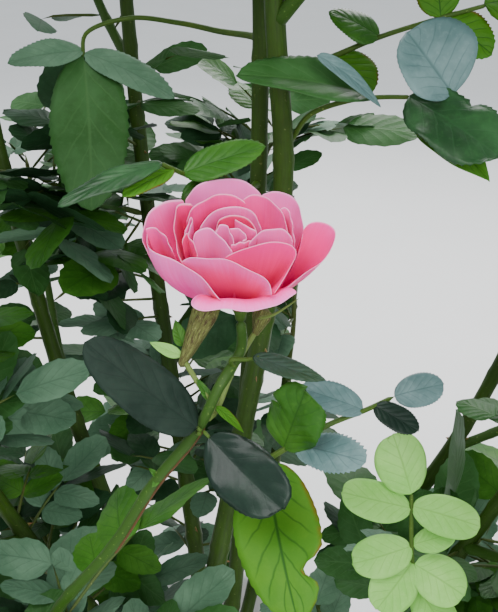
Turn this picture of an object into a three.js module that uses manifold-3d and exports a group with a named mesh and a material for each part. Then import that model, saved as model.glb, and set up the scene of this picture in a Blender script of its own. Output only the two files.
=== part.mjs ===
// Rose bush in flower, growing in a round white pot.
// Millimetres, +Z up, origin at the middle of the pot's flat underside.
import * as THREE from 'three';
import { mergeVertices } from 'three/addons/utils/BufferGeometryUtils.js';
import Module from 'manifold-3d';

const wasm = await Module();
wasm.setup();

// Driving dimensions
const GAP = 0.3;
const POT = {
  height: 280, rimRadius: 150, footRadius: 107, wall: 4, floor: 6,
  collar: 34, lipRadius: 8, step: 5, segments: 32,
};
const MEDIUM = { level: 246, crown: 6, segments: 32 };
const UNION = {
  radius: 25, heart: 25.3, stub: 46, squash: 0.92, lift: 12.5, elbow: 18, flare: 1.9, collar: 1.12,
};
const CANE_SIDES = 6;
const CANE_STEP = 70;
const LATERAL = { length: 105, radius: 3.6, tip: 2.4, sides: 5, lift: 0.35 };
const SHOOT = {
  length: 84, radius: 2.3, tip: 1.5, leaves: 4, tries: 4, leastLeaflets: 3, bare: 0.3, retry: 1.3,
  smallest: 0.82, spread: 0.3, forward: 0.5, endForward: 1.4, lift: 0.25, middle: 0.55, middleRise: 8,
};
const LEAF = {
  petiole: 32, rachis: 46, radius: 1.5, tip: 1.1, bend: 0.6, droop: 0.22,
  terminal: 60, side: 50, slim: 0.62, sink: 0.7,
  pairs: [
    { at: 0.42, scale: 0.86, side: -1 }, { at: 0.46, scale: 0.86, side: 1 },
    { at: 0.75, scale: 1, side: -1 }, { at: 0.79, scale: 1, side: 1 },
  ],
};
const LEAF_THICKNESS = 1.3;
const LEAF_SHAPE = { widest: 0.44, cup: 0.1, droop: 0.1, keel: 0.018 };
const SLIVERS = [0.2, 0.25, 0.3, 0.4, 0.5, 0.6, 0.1];
const THINNEST_FACE = 0.001;
const WELD = 1e-3;
const OPEN_COST = 100;
const WHOLE = 0.98;
const CELL_MARGIN = 0.6;
const SEAT_TESTS = 200;
const LIMB_MARGIN = 3.2;

// The place that the first bloom is looked at from, kept open
const VIEW = { pitch: THREE.MathUtils.degToRad(28), distance: 357, right: 3.8, up: -25.6 };
const VIEW_HALF = { across: 0.31, tall: 0.38, behind: 105 };
const VIEW_GAP = { left: 0.06, right: 0.31, low: -0.11, high: 0.17 };

// First bloom
const BLOOM = { centre: point(25, -130, 740), tilt: THREE.MathUtils.degToRad(12), foot: -34 };
const PETAL_THICKNESS = 1.0;
const PETAL_SLIVERS = [0.06];

function point(x = 0, y = 0, z = 0) {
  return new THREE.Vector3(x, y, z);
}

const UP = point(0, 0, 1);
const ACROSS = point(1, 0.3, 0.2);
const EYE_RIGHT = point(1, 0, 0);
const EYE_UP = point(0, Math.sin(VIEW.pitch), Math.cos(VIEW.pitch));
const EYE_AHEAD = point(0, Math.cos(VIEW.pitch), -Math.sin(VIEW.pitch));
const EYE = fromBloom(VIEW.right, VIEW.up, -VIEW.distance);

const COLOURS = {
  pot: 0xeeeeea, medium: 0x6b3a2a, wood: 0x6d5a3c, cane: 0x4d6a2c, green: 0x5f8f36,
  dark: 0x24463a, mid: 0x3f6d3a, light: 0x5f9a3c, young: 0x9dc257, pink: 0xf06f9a,
};

// A place given as it is seen from the front: right, up and back of the first bloom
function fromBloom(right, up, back) {
  return BLOOM.centre.clone()
    .addScaledVector(EYE_RIGHT, right)
    .addScaledVector(EYE_UP, up)
    .addScaledVector(EYE_AHEAD, back);
}

// Seeded random numbers, the same on every run
function seeded(seed) {
  let state = seed >>> 0;
  return () => {
    state = (state + 0x6d2b79f5) >>> 0;
    let t = state;
    t = Math.imul(t ^ (t >>> 15), t | 1);
    t ^= t + Math.imul(t ^ (t >>> 7), t | 61);
    return ((t ^ (t >>> 14)) >>> 0) / 4294967296;
  };
}

// Closed three.js geometry to a solid, and back
function solidOf(geometry) {
  const bare = geometry.clone();
  bare.deleteAttribute('normal');
  bare.deleteAttribute('uv');
  const merged = mergeVertices(bare, 1e-4);
  return new wasm.Manifold(new wasm.Mesh({
    numProp: 3,
    vertProperties: Float32Array.from(merged.attributes.position.array),
    triVerts: Uint32Array.from(merged.index.array),
  }));
}

function geometryOf(solid) {
  const mesh = solid.getMesh();
  const geometry = new THREE.BufferGeometry();
  geometry.setAttribute('position', new THREE.BufferAttribute(Float32Array.from(mesh.vertProperties), 3));
  geometry.setIndex(new THREE.BufferAttribute(Uint32Array.from(mesh.triVerts), 1));
  return geometry;
}

function joined(solids) {
  return solids.reduce((whole, next) => whole.add(next));
}

// How many faces of a solid are all but flat lines, and how many edges come open when places that
// lie closer than WELD are taken as one
function flaws(solid) {
  const bare = geometryOf(solid);
  const { attributes: { position }, index } = mergeVertices(bare, WELD);
  const corner = (i) => point().fromBufferAttribute(position, index.getX(i));
  const uses = new Map();
  let thin = 0;
  for (let i = 0; i < index.count; i += 3) {
    const sides = [0, 1, 2].map((k) => corner(i + ((k + 1) % 3)).sub(corner(i + k)));
    const longest = Math.max(...sides.map((side) => side.length()));
    if (sides[0].clone().cross(sides[1]).length() < THINNEST_FACE * longest) thin += 1;
    if (new Set([0, 1, 2].map((k) => index.getX(i + k))).size < 3) continue;
    for (let k = 0; k < 3; k += 1) {
      const ends = [index.getX(i + k), index.getX(i + ((k + 1) % 3))].sort((a, c) => a - c).join();
      uses.set(ends, (uses.get(ends) ?? 0) + 1);
    }
  }
  return thin + OPEN_COST * [...uses.values()].filter((count) => count !== 2).length;
}

// Loose scraps go, and so do the slivers that joining leaves: the largest body stays, simplified
// by the smallest of the given steps that keeps it whole and leaves the fewest flaws
function mainBody(solid, slivers = SLIVERS) {
  const largest = (whole) => whole.decompose()
    .reduce((best, next) => (next.volume() > best.volume() ? next : best));
  const body = largest(solid).asOriginal();
  return slivers
    .map((sliver) => largest(body.simplify(sliver)))
    .filter((candidate, i) => i === 0 || candidate.volume() > WHOLE * body.volume())
    .map((candidate) => ({ candidate, flaws: flaws(candidate) }))
    .reduce((best, next) => (next.flaws < best.flaws ? next : best))
    .candidate;
}

const plant = new THREE.Group();

function addPart(name, solid, colour, roughness = 0.6) {
  const material = new THREE.MeshStandardMaterial({ color: colour, roughness, metalness: 0 });
  const mesh = new THREE.Mesh(geometryOf(solid), material);
  mesh.name = name;
  plant.add(mesh);
}

function lathe(profile, segments) {
  const geometry = new THREE.LatheGeometry(profile.map(([r, z]) => new THREE.Vector2(r, z)), segments);
  geometry.rotateX(Math.PI / 2);
  return geometry;
}

// Rings of a limb, each with its place and the way on: equally spaced on a curve, or at given points
function ringsAlong(curve, step) {
  const steps = Math.max(2, Math.round(curve.getLength() / step));
  return Array.from({ length: steps + 1 }, (_, i) => (
    { at: curve.getPointAt(i / steps), along: curve.getTangentAt(i / steps) }));
}

function ringsAt(points) {
  return points.map((at, i) => {
    const before = points[Math.max(i - 1, 0)];
    const after = points[Math.min(i + 1, points.length - 1)];
    return { at, along: after.clone().sub(before).normalize() };
  });
}

// Closed tapering tube through rings: a cylinder whose rings are moved into place
function tube(rings, radii, sides) {
  const steps = rings.length - 1;
  const geometry = new THREE.CylinderGeometry(1, 1, 1, sides, steps);
  const place = geometry.attributes.position;
  let across = ACROSS.clone();
  const frames = rings.map(({ at, along }) => {
    across = across.clone().addScaledVector(along, -across.dot(along)).normalize();
    return { at, across, beside: across.clone().cross(along) };
  });
  for (let i = 0; i < place.count; i += 1) {
    const t = place.getY(i) + 0.5;
    const frame = frames[Math.round(t * steps)];
    const r = THREE.MathUtils.lerp(radii[0], radii[1], t);
    const p = frame.at.clone()
      .addScaledVector(frame.across, place.getX(i) * r)
      .addScaledVector(frame.beside, place.getZ(i) * r);
    place.setXYZ(i, p.x, p.y, p.z);
  }
  return geometry;
}

// Tapering limb along a smooth curve, with flat ends
function limb(points, radii, sides, step = CANE_STEP) {
  const curve = new THREE.CatmullRomCurve3(points, false, 'centripetal');
  const rings = ringsAlong(curve, step);
  const line = rings.map(({ at }, i) => (
    { at, radius: THREE.MathUtils.lerp(radii[0], radii[1], i / (rings.length - 1)) }));
  return { geometry: tube(rings, radii, sides), line, curve, radii, sides, points, step };
}

// The same limb, fatter all round, for cutting a clear seat
function fatter(piece, by) {
  return solidOf(limb(piece.points, piece.radii.map((r) => r + by), piece.sides, piece.step).geometry);
}

// Leaf blade of eight faces: outline of root, two shoulders and tip, with a keel under it
function blade(leaf) {
  const { base, along, normal, length, width } = leaf;
  const beside = normal.clone().cross(along);
  const thick = Math.max(LEAF_THICKNESS, length * LEAF_SHAPE.keel);
  const geometry = new THREE.OctahedronGeometry(1);
  const place = geometry.attributes.position;
  for (let i = 0; i < place.count; i += 1) {
    const x = place.getX(i);
    const y = place.getY(i);
    const z = place.getZ(i);
    const p = base.clone();
    if (x > 0.5) p.addScaledVector(along, length).addScaledVector(normal, -LEAF_SHAPE.droop * length);
    else if (x < -0.5) p.addScaledVector(along, -LEAF.sink);
    else p.addScaledVector(along, LEAF_SHAPE.widest * length);
    if (Math.abs(y) > 0.5) {
      p.addScaledVector(beside, (y * width) / 2).addScaledVector(normal, LEAF_SHAPE.cup * width);
    }
    p.addScaledVector(normal, z * thick / 2);
    place.setXYZ(i, p.x, p.y, p.z);
  }
  return geometry;
}

function leafAt(base, tip, width, facing) {
  const along = tip.clone().sub(base);
  const length = along.length();
  along.normalize();
  const normal = facing.clone().addScaledVector(along, -facing.dot(along)).normalize();
  return { base, along, normal, length, width };
}

// Places on a leaf that are tested against its space and against the limbs
function leafPlaces(leaf) {
  const beside = leaf.normal.clone().cross(leaf.along);
  const places = [];
  for (const [t, half] of [[0.12, 0.25], [0.28, 0.8], [0.46, 1], [0.64, 0.75], [0.82, 0.4], [1, 0]]) {
    const middle = leaf.base.clone()
      .addScaledVector(leaf.along, t * leaf.length)
      .addScaledVector(leaf.normal, -LEAF_SHAPE.droop * leaf.length * t * t);
    places.push(middle);
    if (half > 0) {
      for (const side of [-1, -0.5, 0.5, 1]) {
        places.push(middle.clone()
          .addScaledVector(beside, side * half * leaf.width / 2)
          .addScaledVector(leaf.normal, Math.abs(side) * half * LEAF_SHAPE.cup * leaf.width));
      }
    }
  }
  return places;
}

// Pinnate leaf: a stalk bent once, with side leaflets in pairs and one at its tip
function pinnateLeaf(base, out, random, size, pairs = LEAF.pairs) {
  const sag = point(0, 0, -1);
  const along = out.clone().normalize();
  const reach = (LEAF.petiole + LEAF.rachis) * size;
  const stalk = [0, LEAF.bend, 1].map((t) => base.clone()
    .addScaledVector(along, reach * t)
    .addScaledVector(sag, reach * LEAF.droop * t * t));
  const on = (t) => (t < LEAF.bend
    ? stalk[0].clone().lerp(stalk[1], t / LEAF.bend)
    : stalk[1].clone().lerp(stalk[2], (t - LEAF.bend) / (1 - LEAF.bend)));
  const ahead = (t) => along.clone().addScaledVector(sag, 2 * LEAF.droop * t).normalize();
  const facing = UP.clone()
    .addScaledVector(along, -0.35)
    .add(point(random() - 0.5, random() - 0.5, 0).multiplyScalar(0.5))
    .normalize();
  const leaves = [];
  for (const { at, scale, side } of pairs) {
    const forward = ahead(at);
    const beside = facing.clone().cross(forward).normalize();
    const way = forward.clone().multiplyScalar(0.5).addScaledVector(beside, side)
      .addScaledVector(UP, 0.1 * (random() - 0.5)).normalize();
    const length = LEAF.side * size * scale * (0.9 + 0.2 * random());
    const root = on(at);
    leaves.push(leafAt(root, root.clone().addScaledVector(way, length), length * LEAF.slim, facing));
  }
  const length = LEAF.terminal * size * (0.9 + 0.2 * random());
  const end = on(0.985);
  leaves.push(leafAt(end, end.clone().addScaledVector(ahead(1), length), length * LEAF.slim, facing));
  return { stalk, leaves };
}

// Pot: a tapering wall under a deep collar with a rolled rim, and medium filled to just below it
function potWallRadius(z) {
  const top = POT.rimRadius - POT.lipRadius - POT.wall;
  return THREE.MathUtils.mapLinear(z, 0, POT.height, POT.footRadius, top);
}

function buildPot() {
  const roll = [];
  const rollSteps = 5;
  for (let i = 0; i <= rollSteps; i += 1) {
    const a = -Math.PI / 2 + (Math.PI * 1.5 * i) / rollSteps;
    roll.push([
      POT.rimRadius - POT.lipRadius + POT.lipRadius * Math.cos(a),
      POT.height - POT.lipRadius + POT.lipRadius * Math.sin(a),
    ]);
  }
  const collarFoot = POT.height - POT.lipRadius * 2 - POT.collar;
  const profile = [
    [0, 0],
    [POT.footRadius - 4, 0],
    [POT.footRadius, 4],
    [potWallRadius(collarFoot), collarFoot],
    [potWallRadius(collarFoot) + POT.step, collarFoot + POT.step],
    [POT.rimRadius - POT.lipRadius, POT.height - POT.lipRadius * 2 - 1],
    ...roll,
    [potWallRadius(POT.height - 20) - POT.wall, POT.height - 20],
    [potWallRadius(POT.floor) - POT.wall, POT.floor],
    [0, POT.floor],
  ];
  addPart('pot', solidOf(lathe(profile, POT.segments)), COLOURS.pot, 0.4);
}

function buildMedium() {
  const inner = (z) => potWallRadius(z) - POT.wall - GAP * 2;
  const low = POT.floor + GAP;
  const edge = MEDIUM.level - MEDIUM.crown;
  const profile = [
    [0, low],
    [inner(low), low],
    [inner(edge), edge],
    [inner(edge) - 12, MEDIUM.level - 1],
    [UNION.radius * 2, MEDIUM.level],
    [0, MEDIUM.level],
  ];
  addPart('growing_medium', solidOf(lathe(profile, MEDIUM.segments)), COLOURS.medium, 0.95);
}

// Canes: where each leaves the bud union, and the way it takes
const SOIL = MEDIUM.level + GAP;
const HEART = point(0, 0, SOIL + UNION.heart);

// A cane grown by rule: its heading, its lean at foot and at tip, and its length
function sweep(heading, leanFoot, leanTip, length) {
  const h = THREE.MathUtils.degToRad(heading);
  const steps = 6;
  const points = [];
  let at = HEART.clone();
  for (let i = 0; i <= steps; i += 1) {
    const t = i / steps;
    const lean = THREE.MathUtils.degToRad(THREE.MathUtils.lerp(leanFoot, leanTip, t));
    const turn = h + 0.16 * Math.sin(t * 5 + heading);
    const ahead = point(Math.cos(turn) * Math.sin(lean), Math.sin(turn) * Math.sin(lean), Math.cos(lean));
    at = at.clone().addScaledVector(ahead, i === 0 ? UNION.stub : (length - UNION.stub) / steps);
    points.push(at);
  }
  return points;
}

// A cane led through places that the front view shows
function through(...places) {
  const first = places[0].clone().sub(HEART).normalize();
  return [HEART.clone().addScaledVector(first, UNION.stub), ...places];
}

const CANES = {
  cane_front_old: {
    points: through(point(-34, -66, 372), point(-58, -114, 446), point(-72, -134, 520)), radii: [8.5, 6.6],
  },
  cane_tall_right: {
    points: through(point(-2, -40, 400), point(18, -31, 529), point(36, -50, 654), point(46, -50, 734),
      point(40, -60, 828), point(38, -52, 900)),
    radii: [7.6, 4.4],
  },
  cane_tall_left: {
    points: through(point(18, 6, 400), point(25, -2, 540), point(31, -16, 650), point(34, -25, 740),
      point(33, -18, 860), point(20, 10, 955)),
    radii: [6.2, 3.8],
  },
  cane_right_front: { points: sweep(-20, 50, 12, 440), radii: [6, 3.8] },
  cane_right_back: { points: sweep(15, 50, 0, 640), radii: [6.5, 3.8] },
  cane_back_right: { points: sweep(56, 36, 8, 290), radii: [5.5, 3.8] },
  cane_back: { points: sweep(112, 20, 3, 700), radii: [7, 3.8] },
  cane_left_back: { points: sweep(152, 27, 4, 650), radii: [6.5, 3.8] },
  cane_left: { points: sweep(205, 36, 6, 560), radii: [6, 3.8] },
};

const limbs = {};
for (const [name, { points, radii }] of Object.entries(CANES)) limbs[name] = limb(points, radii, CANE_SIDES);

// Flowering stem: from the knob of the old front cane up to the first bloom
const bloomAxis = point(0, -Math.sin(BLOOM.tilt), Math.cos(BLOOM.tilt));
const onAxis = (below) => BLOOM.centre.clone().addScaledVector(bloomAxis, BLOOM.foot + below);
const FLOWER_STEM = { radii: [3.1, 2.4], sides: 8, step: 26, straight: 10 };
const knob = limbs.cane_front_old.curve;
limbs.flowering_stem = limb([
  knob.getPointAt(1).addScaledVector(knob.getTangentAt(1), GAP),
  knob.getPointAt(1).addScaledVector(knob.getTangentAt(1), FLOWER_STEM.straight),
  fromBloom(-65, -147, 72), fromBloom(-42, -111, 54), fromBloom(-20, -83, 40),
  fromBloom(-10, -63, 34), onAxis(-26), onAxis(-7),
], FLOWER_STEM.radii, FLOWER_STEM.sides, FLOWER_STEM.step);

// Side boughs: cane, how far along it, heading of the bough and its rise
const LATERALS = {
  bough_tall_right: ['cane_tall_right', 0.86, -40, 48],
  bough_tall_left: ['cane_tall_left', 0.8, 175, 40],
  bough_right_front: ['cane_right_front', 0.62, -62, 30],
  bough_right_back_low: ['cane_right_back', 0.42, -8, 34],
  bough_right_back_high: ['cane_right_back', 0.74, 62, 46],
  bough_back_low: ['cane_back', 0.4, 52, 34],
  bough_back_high: ['cane_back', 0.7, 128, 44],
  bough_left_back_low: ['cane_left_back', 0.42, 108, 34],
  bough_left_back_high: ['cane_left_back', 0.72, 172, 46],
  bough_left_low: ['cane_left', 0.4, 228, 26],
  bough_left_high: ['cane_left', 0.7, 205, 46],
};

function rising(heading, rise) {
  const h = THREE.MathUtils.degToRad(heading);
  const e = THREE.MathUtils.degToRad(rise);
  return point(Math.cos(h) * Math.cos(e), Math.sin(h) * Math.cos(e), Math.sin(e));
}

const seats = {};
for (const [name, [cane, t, heading, rise]] of Object.entries(LATERALS)) {
  const foot = limbs[cane].curve.getPointAt(t);
  const out = rising(heading, rise);
  const bent = out.clone().addScaledVector(UP, LATERAL.lift).normalize();
  const elbow = foot.clone().addScaledVector(out, LATERAL.length / 2);
  const points = [foot, elbow, elbow.clone().addScaledVector(bent, LATERAL.length / 2)];
  limbs[name] = limb(points, [LATERAL.radius, LATERAL.tip], LATERAL.sides);
  seats[name] = cane;
}

// Bud union: a knobbly foot with a short stub for each cane, flat at the growing medium
function buildUnion() {
  const knob = new THREE.SphereGeometry(UNION.radius, 12, 7);
  knob.rotateX(Math.PI / 2);
  knob.scale(1, 1, UNION.squash);
  knob.translate(0, 0, SOIL + UNION.lift);
  let solid = solidOf(knob);
  for (const name of Object.keys(CANES)) {
    const { curve, radii } = limbs[name];
    const foot = curve.getPointAt(0);
    const along = curve.getTangentAt(0);
    const before = foot.clone().addScaledVector(along, -UNION.elbow);
    const rings = ringsAt([HEART, before, foot.clone().addScaledVector(along, -GAP)]);
    solid = solid.add(solidOf(tube(rings, [radii[0] * UNION.flare, radii[0] * UNION.collar], CANE_SIDES)));
  }
  for (const name of Object.keys(CANES)) solid = solid.subtract(fatter(limbs[name], GAP));
  const below = new THREE.BoxGeometry(POT.rimRadius, POT.rimRadius, UNION.stub);
  below.translate(0, 0, SOIL - UNION.stub / 2);
  addPart('bud_union', mainBody(solid.subtract(solidOf(below))), COLOURS.wood, 0.9);
}

function buildLimbs() {
  const cuts = {};
  for (const cane of new Set(Object.values(seats))) cuts[cane] = fatter(limbs[cane], GAP);
  for (const [name, piece] of Object.entries(limbs)) {
    let solid = solidOf(piece.geometry);
    if (seats[name]) solid = mainBody(solid.subtract(cuts[seats[name]]));
    addPart(name, solid, name.startsWith('cane') ? COLOURS.cane : COLOURS.green, 0.55);
  }
}

// Petals of the first bloom, in its own frame: rim places as right, back and height from the
// middle of the cup, how far the belly swells past the rim, and how much higher than a plain cup's
// it is carried
const PETALS = {
  lip: {
    rim: [[-19.5, -30, -7], [-14.5, -31, -10], [-3.5, -31, -9], [9, -29.5, -8], [23, -24.5, -5.5]],
    belly: 0.78, lift: 20,
  },
  right: {
    rim: [[27, 11, 3], [37.5, 8.5, 5], [40, 4, 3], [31, -9.5, -3], [14, -23, -8]],
    belly: 0.75,
  },
  left: {
    rim: [[-24.5, 26, 6], [-33, 22.5, 7], [-39.5, 17, 4], [-41.5, 9.5, -1], [-38.5, 0.5, -5]],
    belly: 0.9,
  },
  front_left: {
    rim: [[-39.5, 10, 2], [-34, -5, 0], [-23, -12, 0], [-13.5, -21, -2], [-7.5, -28, -6]],
    belly: 0.85,
  },
  back: {
    rim: [[-24.5, 30, 3], [-18.5, 36.5, 7], [-6, 38.5, 8.5], [4.5, 36.5, 7], [9.5, 35, 2]],
    belly: 0.95,
  },
  right_back: {
    rim: [[9, 32.5, 4], [14.5, 32, 6], [24, 27, 5], [26, 17, 2.5], [26, 6, -1]],
    belly: 0.95,
  },
  front: {
    rim: [[-23.5, -11, 0], [-13.5, -15.5, 6], [-2.5, -19.5, 7], [9, -24.5, 3], [12.5, -27.5, -4]],
    belly: 0.9,
  },
  second_left: {
    rim: [[-20, 18, 9], [-26, 17.5, 9], [-27, 9, 8], [-26.5, 0.5, 6], [-23, -13, 1]],
    belly: 0.98,
  },
  second_back: {
    rim: [[-22, 4.5, 9], [-18.5, 14, 11], [-11.5, 21, 11], [-4.5, 22, 11], [2.5, 18.5, 9]],
    belly: 1.05,
  },
  second_right: {
    rim: [[1, 21, 9], [7.5, 22.5, 10.5], [14, 16.5, 10.5], [18.5, 6, 9], [19, 0, 7]],
    belly: 1.05,
  },
  front_right: {
    rim: [[-6, -16, 6], [3, -14, 10], [19, -11.5, 10], [21.5, -14.5, 3], [13.5, -24.5, -6]],
    belly: 0.9,
  },
  third_left: {
    rim: [[-19, -5.5, 4], [-17, -2, 8.5], [-12, -1.5, 10], [-5.5, -8.5, 8.5], [-2.5, -12.5, 7]],
    belly: 1.1,
  },
  third_right: {
    rim: [[3.5, -9.5, 8], [6.5, -5, 10], [13.5, -2, 10.5], [19.5, -3, 8.5], [21, -6.5, 7]],
    belly: 1.1,
  },
  ring: {
    rim: [[-16, 2.5, 7], [-12, 9.5, 9.5], [-4, 14.5, 10], [5, 10.5, 9.5], [8.5, 2, 7]],
    belly: 1.1,
  },
  heart: {
    rim: [[-9.5, -2.5, 9], [-6, 5.5, 11], [1, 4.5, 11.5], [6.5, -2.5, 10], [6.5, -5.5, 8.5]],
    belly: 1.1,
  },
  heart_core: {
    rim: [[-4, -1, 9.5], [-1.5, -1, 10.2], [1, -3, 10.2], [2.5, -6.5, 9.5], [1, -7.5, 8.5]],
    belly: 1,
  },
};
const PETAL_STEPS = 2;
const PETAL_CLAW = 0.1;
const BELLY = { foot: 0.78, rim: 0.22 };

// A petal is swept from its claw, out round its belly, to its rim
function petalPlace(petal, across, t) {
  const spot = across * (petal.rim.length - 1);
  const i = Math.min(Math.floor(spot), petal.rim.length - 2);
  const f = spot - i;
  const rim = petal.rim[i].map((value, axis) => THREE.MathUtils.lerp(value, petal.rim[i + 1][axis], f));
  const bend = 2 * t * (1 - t);
  const spread = PETAL_CLAW * (1 - t) ** 2 + bend * petal.belly + t * t;
  const middle = BLOOM.foot * BELLY.foot + rim[2] * BELLY.rim + (petal.lift ?? 0);
  const height = BLOOM.foot * (1 - t) ** 2 + middle * bend + rim[2] * t * t;
  return point(rim[0] * spread, rim[1] * spread, height);
}

// Blade with thickness, from a box grid whose two faces follow the petal
const PETAL_NUDGE = 0.02;
function petalSolid(petal) {
  const columns = petal.rim.length - 1;
  const geometry = new THREE.BoxGeometry(1, 1, 1, columns, PETAL_STEPS, 1);
  const place = geometry.attributes.position;
  for (let i = 0; i < place.count; i += 1) {
    const across = 0.5 - place.getX(i);
    const t = place.getY(i) + 0.5;
    const p = petalPlace(petal, across, t);
    const ahead = petalPlace(petal, across, Math.min(t + PETAL_NUDGE, 1))
      .sub(petalPlace(petal, across, t - PETAL_NUDGE));
    const level = Math.max(t, PETAL_CLAW);
    const beside = petalPlace(petal, Math.min(across + PETAL_NUDGE, 1), level)
      .sub(petalPlace(petal, Math.max(across - PETAL_NUDGE, 0), level));
    const normal = ahead.cross(beside).normalize();
    p.addScaledVector(normal, place.getZ(i) * PETAL_THICKNESS);
    place.setXYZ(i, p.x, p.y, p.z);
  }
  const solid = solidOf(geometry);
  if (solid.volume() > 0) return solid;
  geometry.index.array.reverse();
  return solidOf(geometry);
}

// Green receptacle with five sepals under the petals: radii, heights from the foot of the petals
const CALYX = { below: 6.5, stalk: 2.6, belly: 4.6, shoulder: 3.4, top: 4, sides: 8 };
const SEPAL = { count: 5, turn: 0.4, root: 2.5, tip: 20, rise: -9, width: 7 };
function calyx(foot) {
  const profile = [
    [0, foot - CALYX.below],
    [CALYX.stalk, foot - CALYX.below],
    [CALYX.belly, foot - 3],
    [CALYX.belly, foot + 1],
    [CALYX.shoulder, foot + CALYX.top],
    [0, foot + CALYX.top],
  ];
  const parts = [solidOf(lathe(profile, CALYX.sides))];
  for (let i = 0; i < SEPAL.count; i += 1) {
    const a = (i * Math.PI * 2) / SEPAL.count + SEPAL.turn;
    const out = point(Math.cos(a), Math.sin(a), 0);
    const base = out.clone().multiplyScalar(SEPAL.root).add(point(0, 0, foot));
    const tip = out.clone().multiplyScalar(SEPAL.tip).add(point(0, 0, foot + SEPAL.rise));
    parts.push(solidOf(blade(leafAt(base, tip, SEPAL.width, UP))));
  }
  return parts;
}

// The move that takes +Z to an axis and the origin to a place
function turnTo(axis, centre) {
  return new THREE.Matrix4()
    .makeRotationFromQuaternion(new THREE.Quaternion().setFromUnitVectors(UP, axis))
    .setPosition(centre)
    .toArray();
}

function place(solids, centre, axis) {
  return mainBody(joined(solids).transform(turnTo(axis, centre)), PETAL_SLIVERS);
}

// The closed middle that the petals wrap, open at the heart
const CORE = [[0, BLOOM.foot + 2], [10, BLOOM.foot + 6], [18, -20], [16, -10], [9, -4], [0, 1]];

function buildFirstBloom() {
  const solids = [solidOf(lathe(CORE, 12)), ...Object.values(PETALS).map(petalSolid), ...calyx(BLOOM.foot)];
  addPart('bloom_front', place(solids, BLOOM.centre, bloomAxis), COLOURS.pink, 0.5);
}

// Blooms on other boughs: rings of cupped petals round a closed heart
const RINGS = [[5, 37, -2, 0.98], [4, 26, 6, 1.05], [2, 13, 10, 1.1]];
const LATER_BLOOMS = {
  bloom_right_back: ['bough_right_back_high', 0.95, 11],
  bloom_left_back: ['bough_left_back_high', 0.86, 23],
};

function ringPetals(seed) {
  const random = seeded(seed);
  const petals = [];
  RINGS.forEach(([count, radius, height, belly], ring) => {
    for (let i = 0; i < count; i += 1) {
      const middle = ((i + 0.5 * ring + 0.3 * random()) * Math.PI * 2) / count;
      const half = Math.PI / count * 1.25;
      const reach = radius * (0.98 + 0.04 * random());
      const rim = [-1, -0.35, 0.35, 1].map((u) => {
        const a = middle + u * half;
        const r = reach * (1 + 0.07 * u);
        return [r * Math.cos(a), r * Math.sin(a), height - 7 * u * u + 2 * random()];
      });
      petals.push({ rim, belly });
    }
  });
  return petals;
}

const BLOOM_REACH = 44;
const bloomSpots = [{ at: BLOOM.centre, radius: BLOOM_REACH }];
function buildLaterBlooms() {
  for (const [name, [bough, scale, seed]] of Object.entries(LATER_BLOOMS)) {
    const { centre, axis } = laterBloomSeat(bough, scale);
    const solids = [solidOf(lathe(CORE, 10)), ...ringPetals(seed).map(petalSolid), ...calyx(BLOOM.foot)]
      .map((solid) => solid.scale([scale, scale, scale]));
    addPart(name, place(solids, centre, axis), COLOURS.pink, 0.5);
  }
}

function laterBloomSeat(bough, scale) {
  const axis = limbs[bough].curve.getTangentAt(1);
  const lift = (CALYX.below - BLOOM.foot) * scale + GAP;
  return { axis, centre: limbs[bough].curve.getPointAt(1).addScaledVector(axis, lift) };
}
for (const [bough, scale] of Object.values(LATER_BLOOMS)) {
  bloomSpots.push({ at: laterBloomSeat(bough, scale).centre, radius: BLOOM_REACH });
}

// Buds: a thin stalk, then a green calyx that widens up to the closed petals. The outline goes by
// share of the height, with radii as shares of the width.
const BUDS = {
  bud_left_of_bloom: {
    seat: 'flowering_stem', width: 12,
    stalk: [[-13, -71, 37], [-17, -66, 40], [-22, -59, 43], [-27, -51, 45]],
    tip: [-11, -17, 46],
  },
  bud_right_of_bloom: {
    seat: 'flowering_stem', width: 9,
    stalk: [[-17, -80, 40], [-12, -76, 47], [-4, -57, 50], [8, -36, 53]],
    tip: [12, -26, 54],
  },
};
const BUD_SHAPE = [[0.2, 0.13], [0.42, 0.22], [0.66, 0.42], [0.82, 0.5], [0.93, 0.36]];
const BUD_STALK = { radii: [1.3, 1.5], foot: 1.6, overlap: 4, sides: 6, step: 12, reach: 5 };

function buildBuds() {
  for (const [name, bud] of Object.entries(BUDS)) {
    const places = bud.stalk.map((spot) => fromBloom(...spot));
    const end = places[places.length - 1];
    const axis = fromBloom(...bud.tip).sub(end);
    const height = axis.length();
    const body = lathe([
      [0, -BUD_STALK.overlap],
      [BUD_STALK.foot, -BUD_STALK.overlap],
      ...BUD_SHAPE.map(([share, radius]) => [radius * bud.width, share * height]),
      [0, height],
    ], 8);
    const turned = solidOf(body).transform(turnTo(axis.normalize(), end));
    const stalk = solidOf(limb(places, BUD_STALK.radii, BUD_STALK.sides, BUD_STALK.step).geometry);
    const whole = stalk.add(turned).subtract(fatter(limbs[bud.seat], GAP));
    addPart(name, mainBody(whole), COLOURS.green, 0.6);
  }
}

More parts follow.
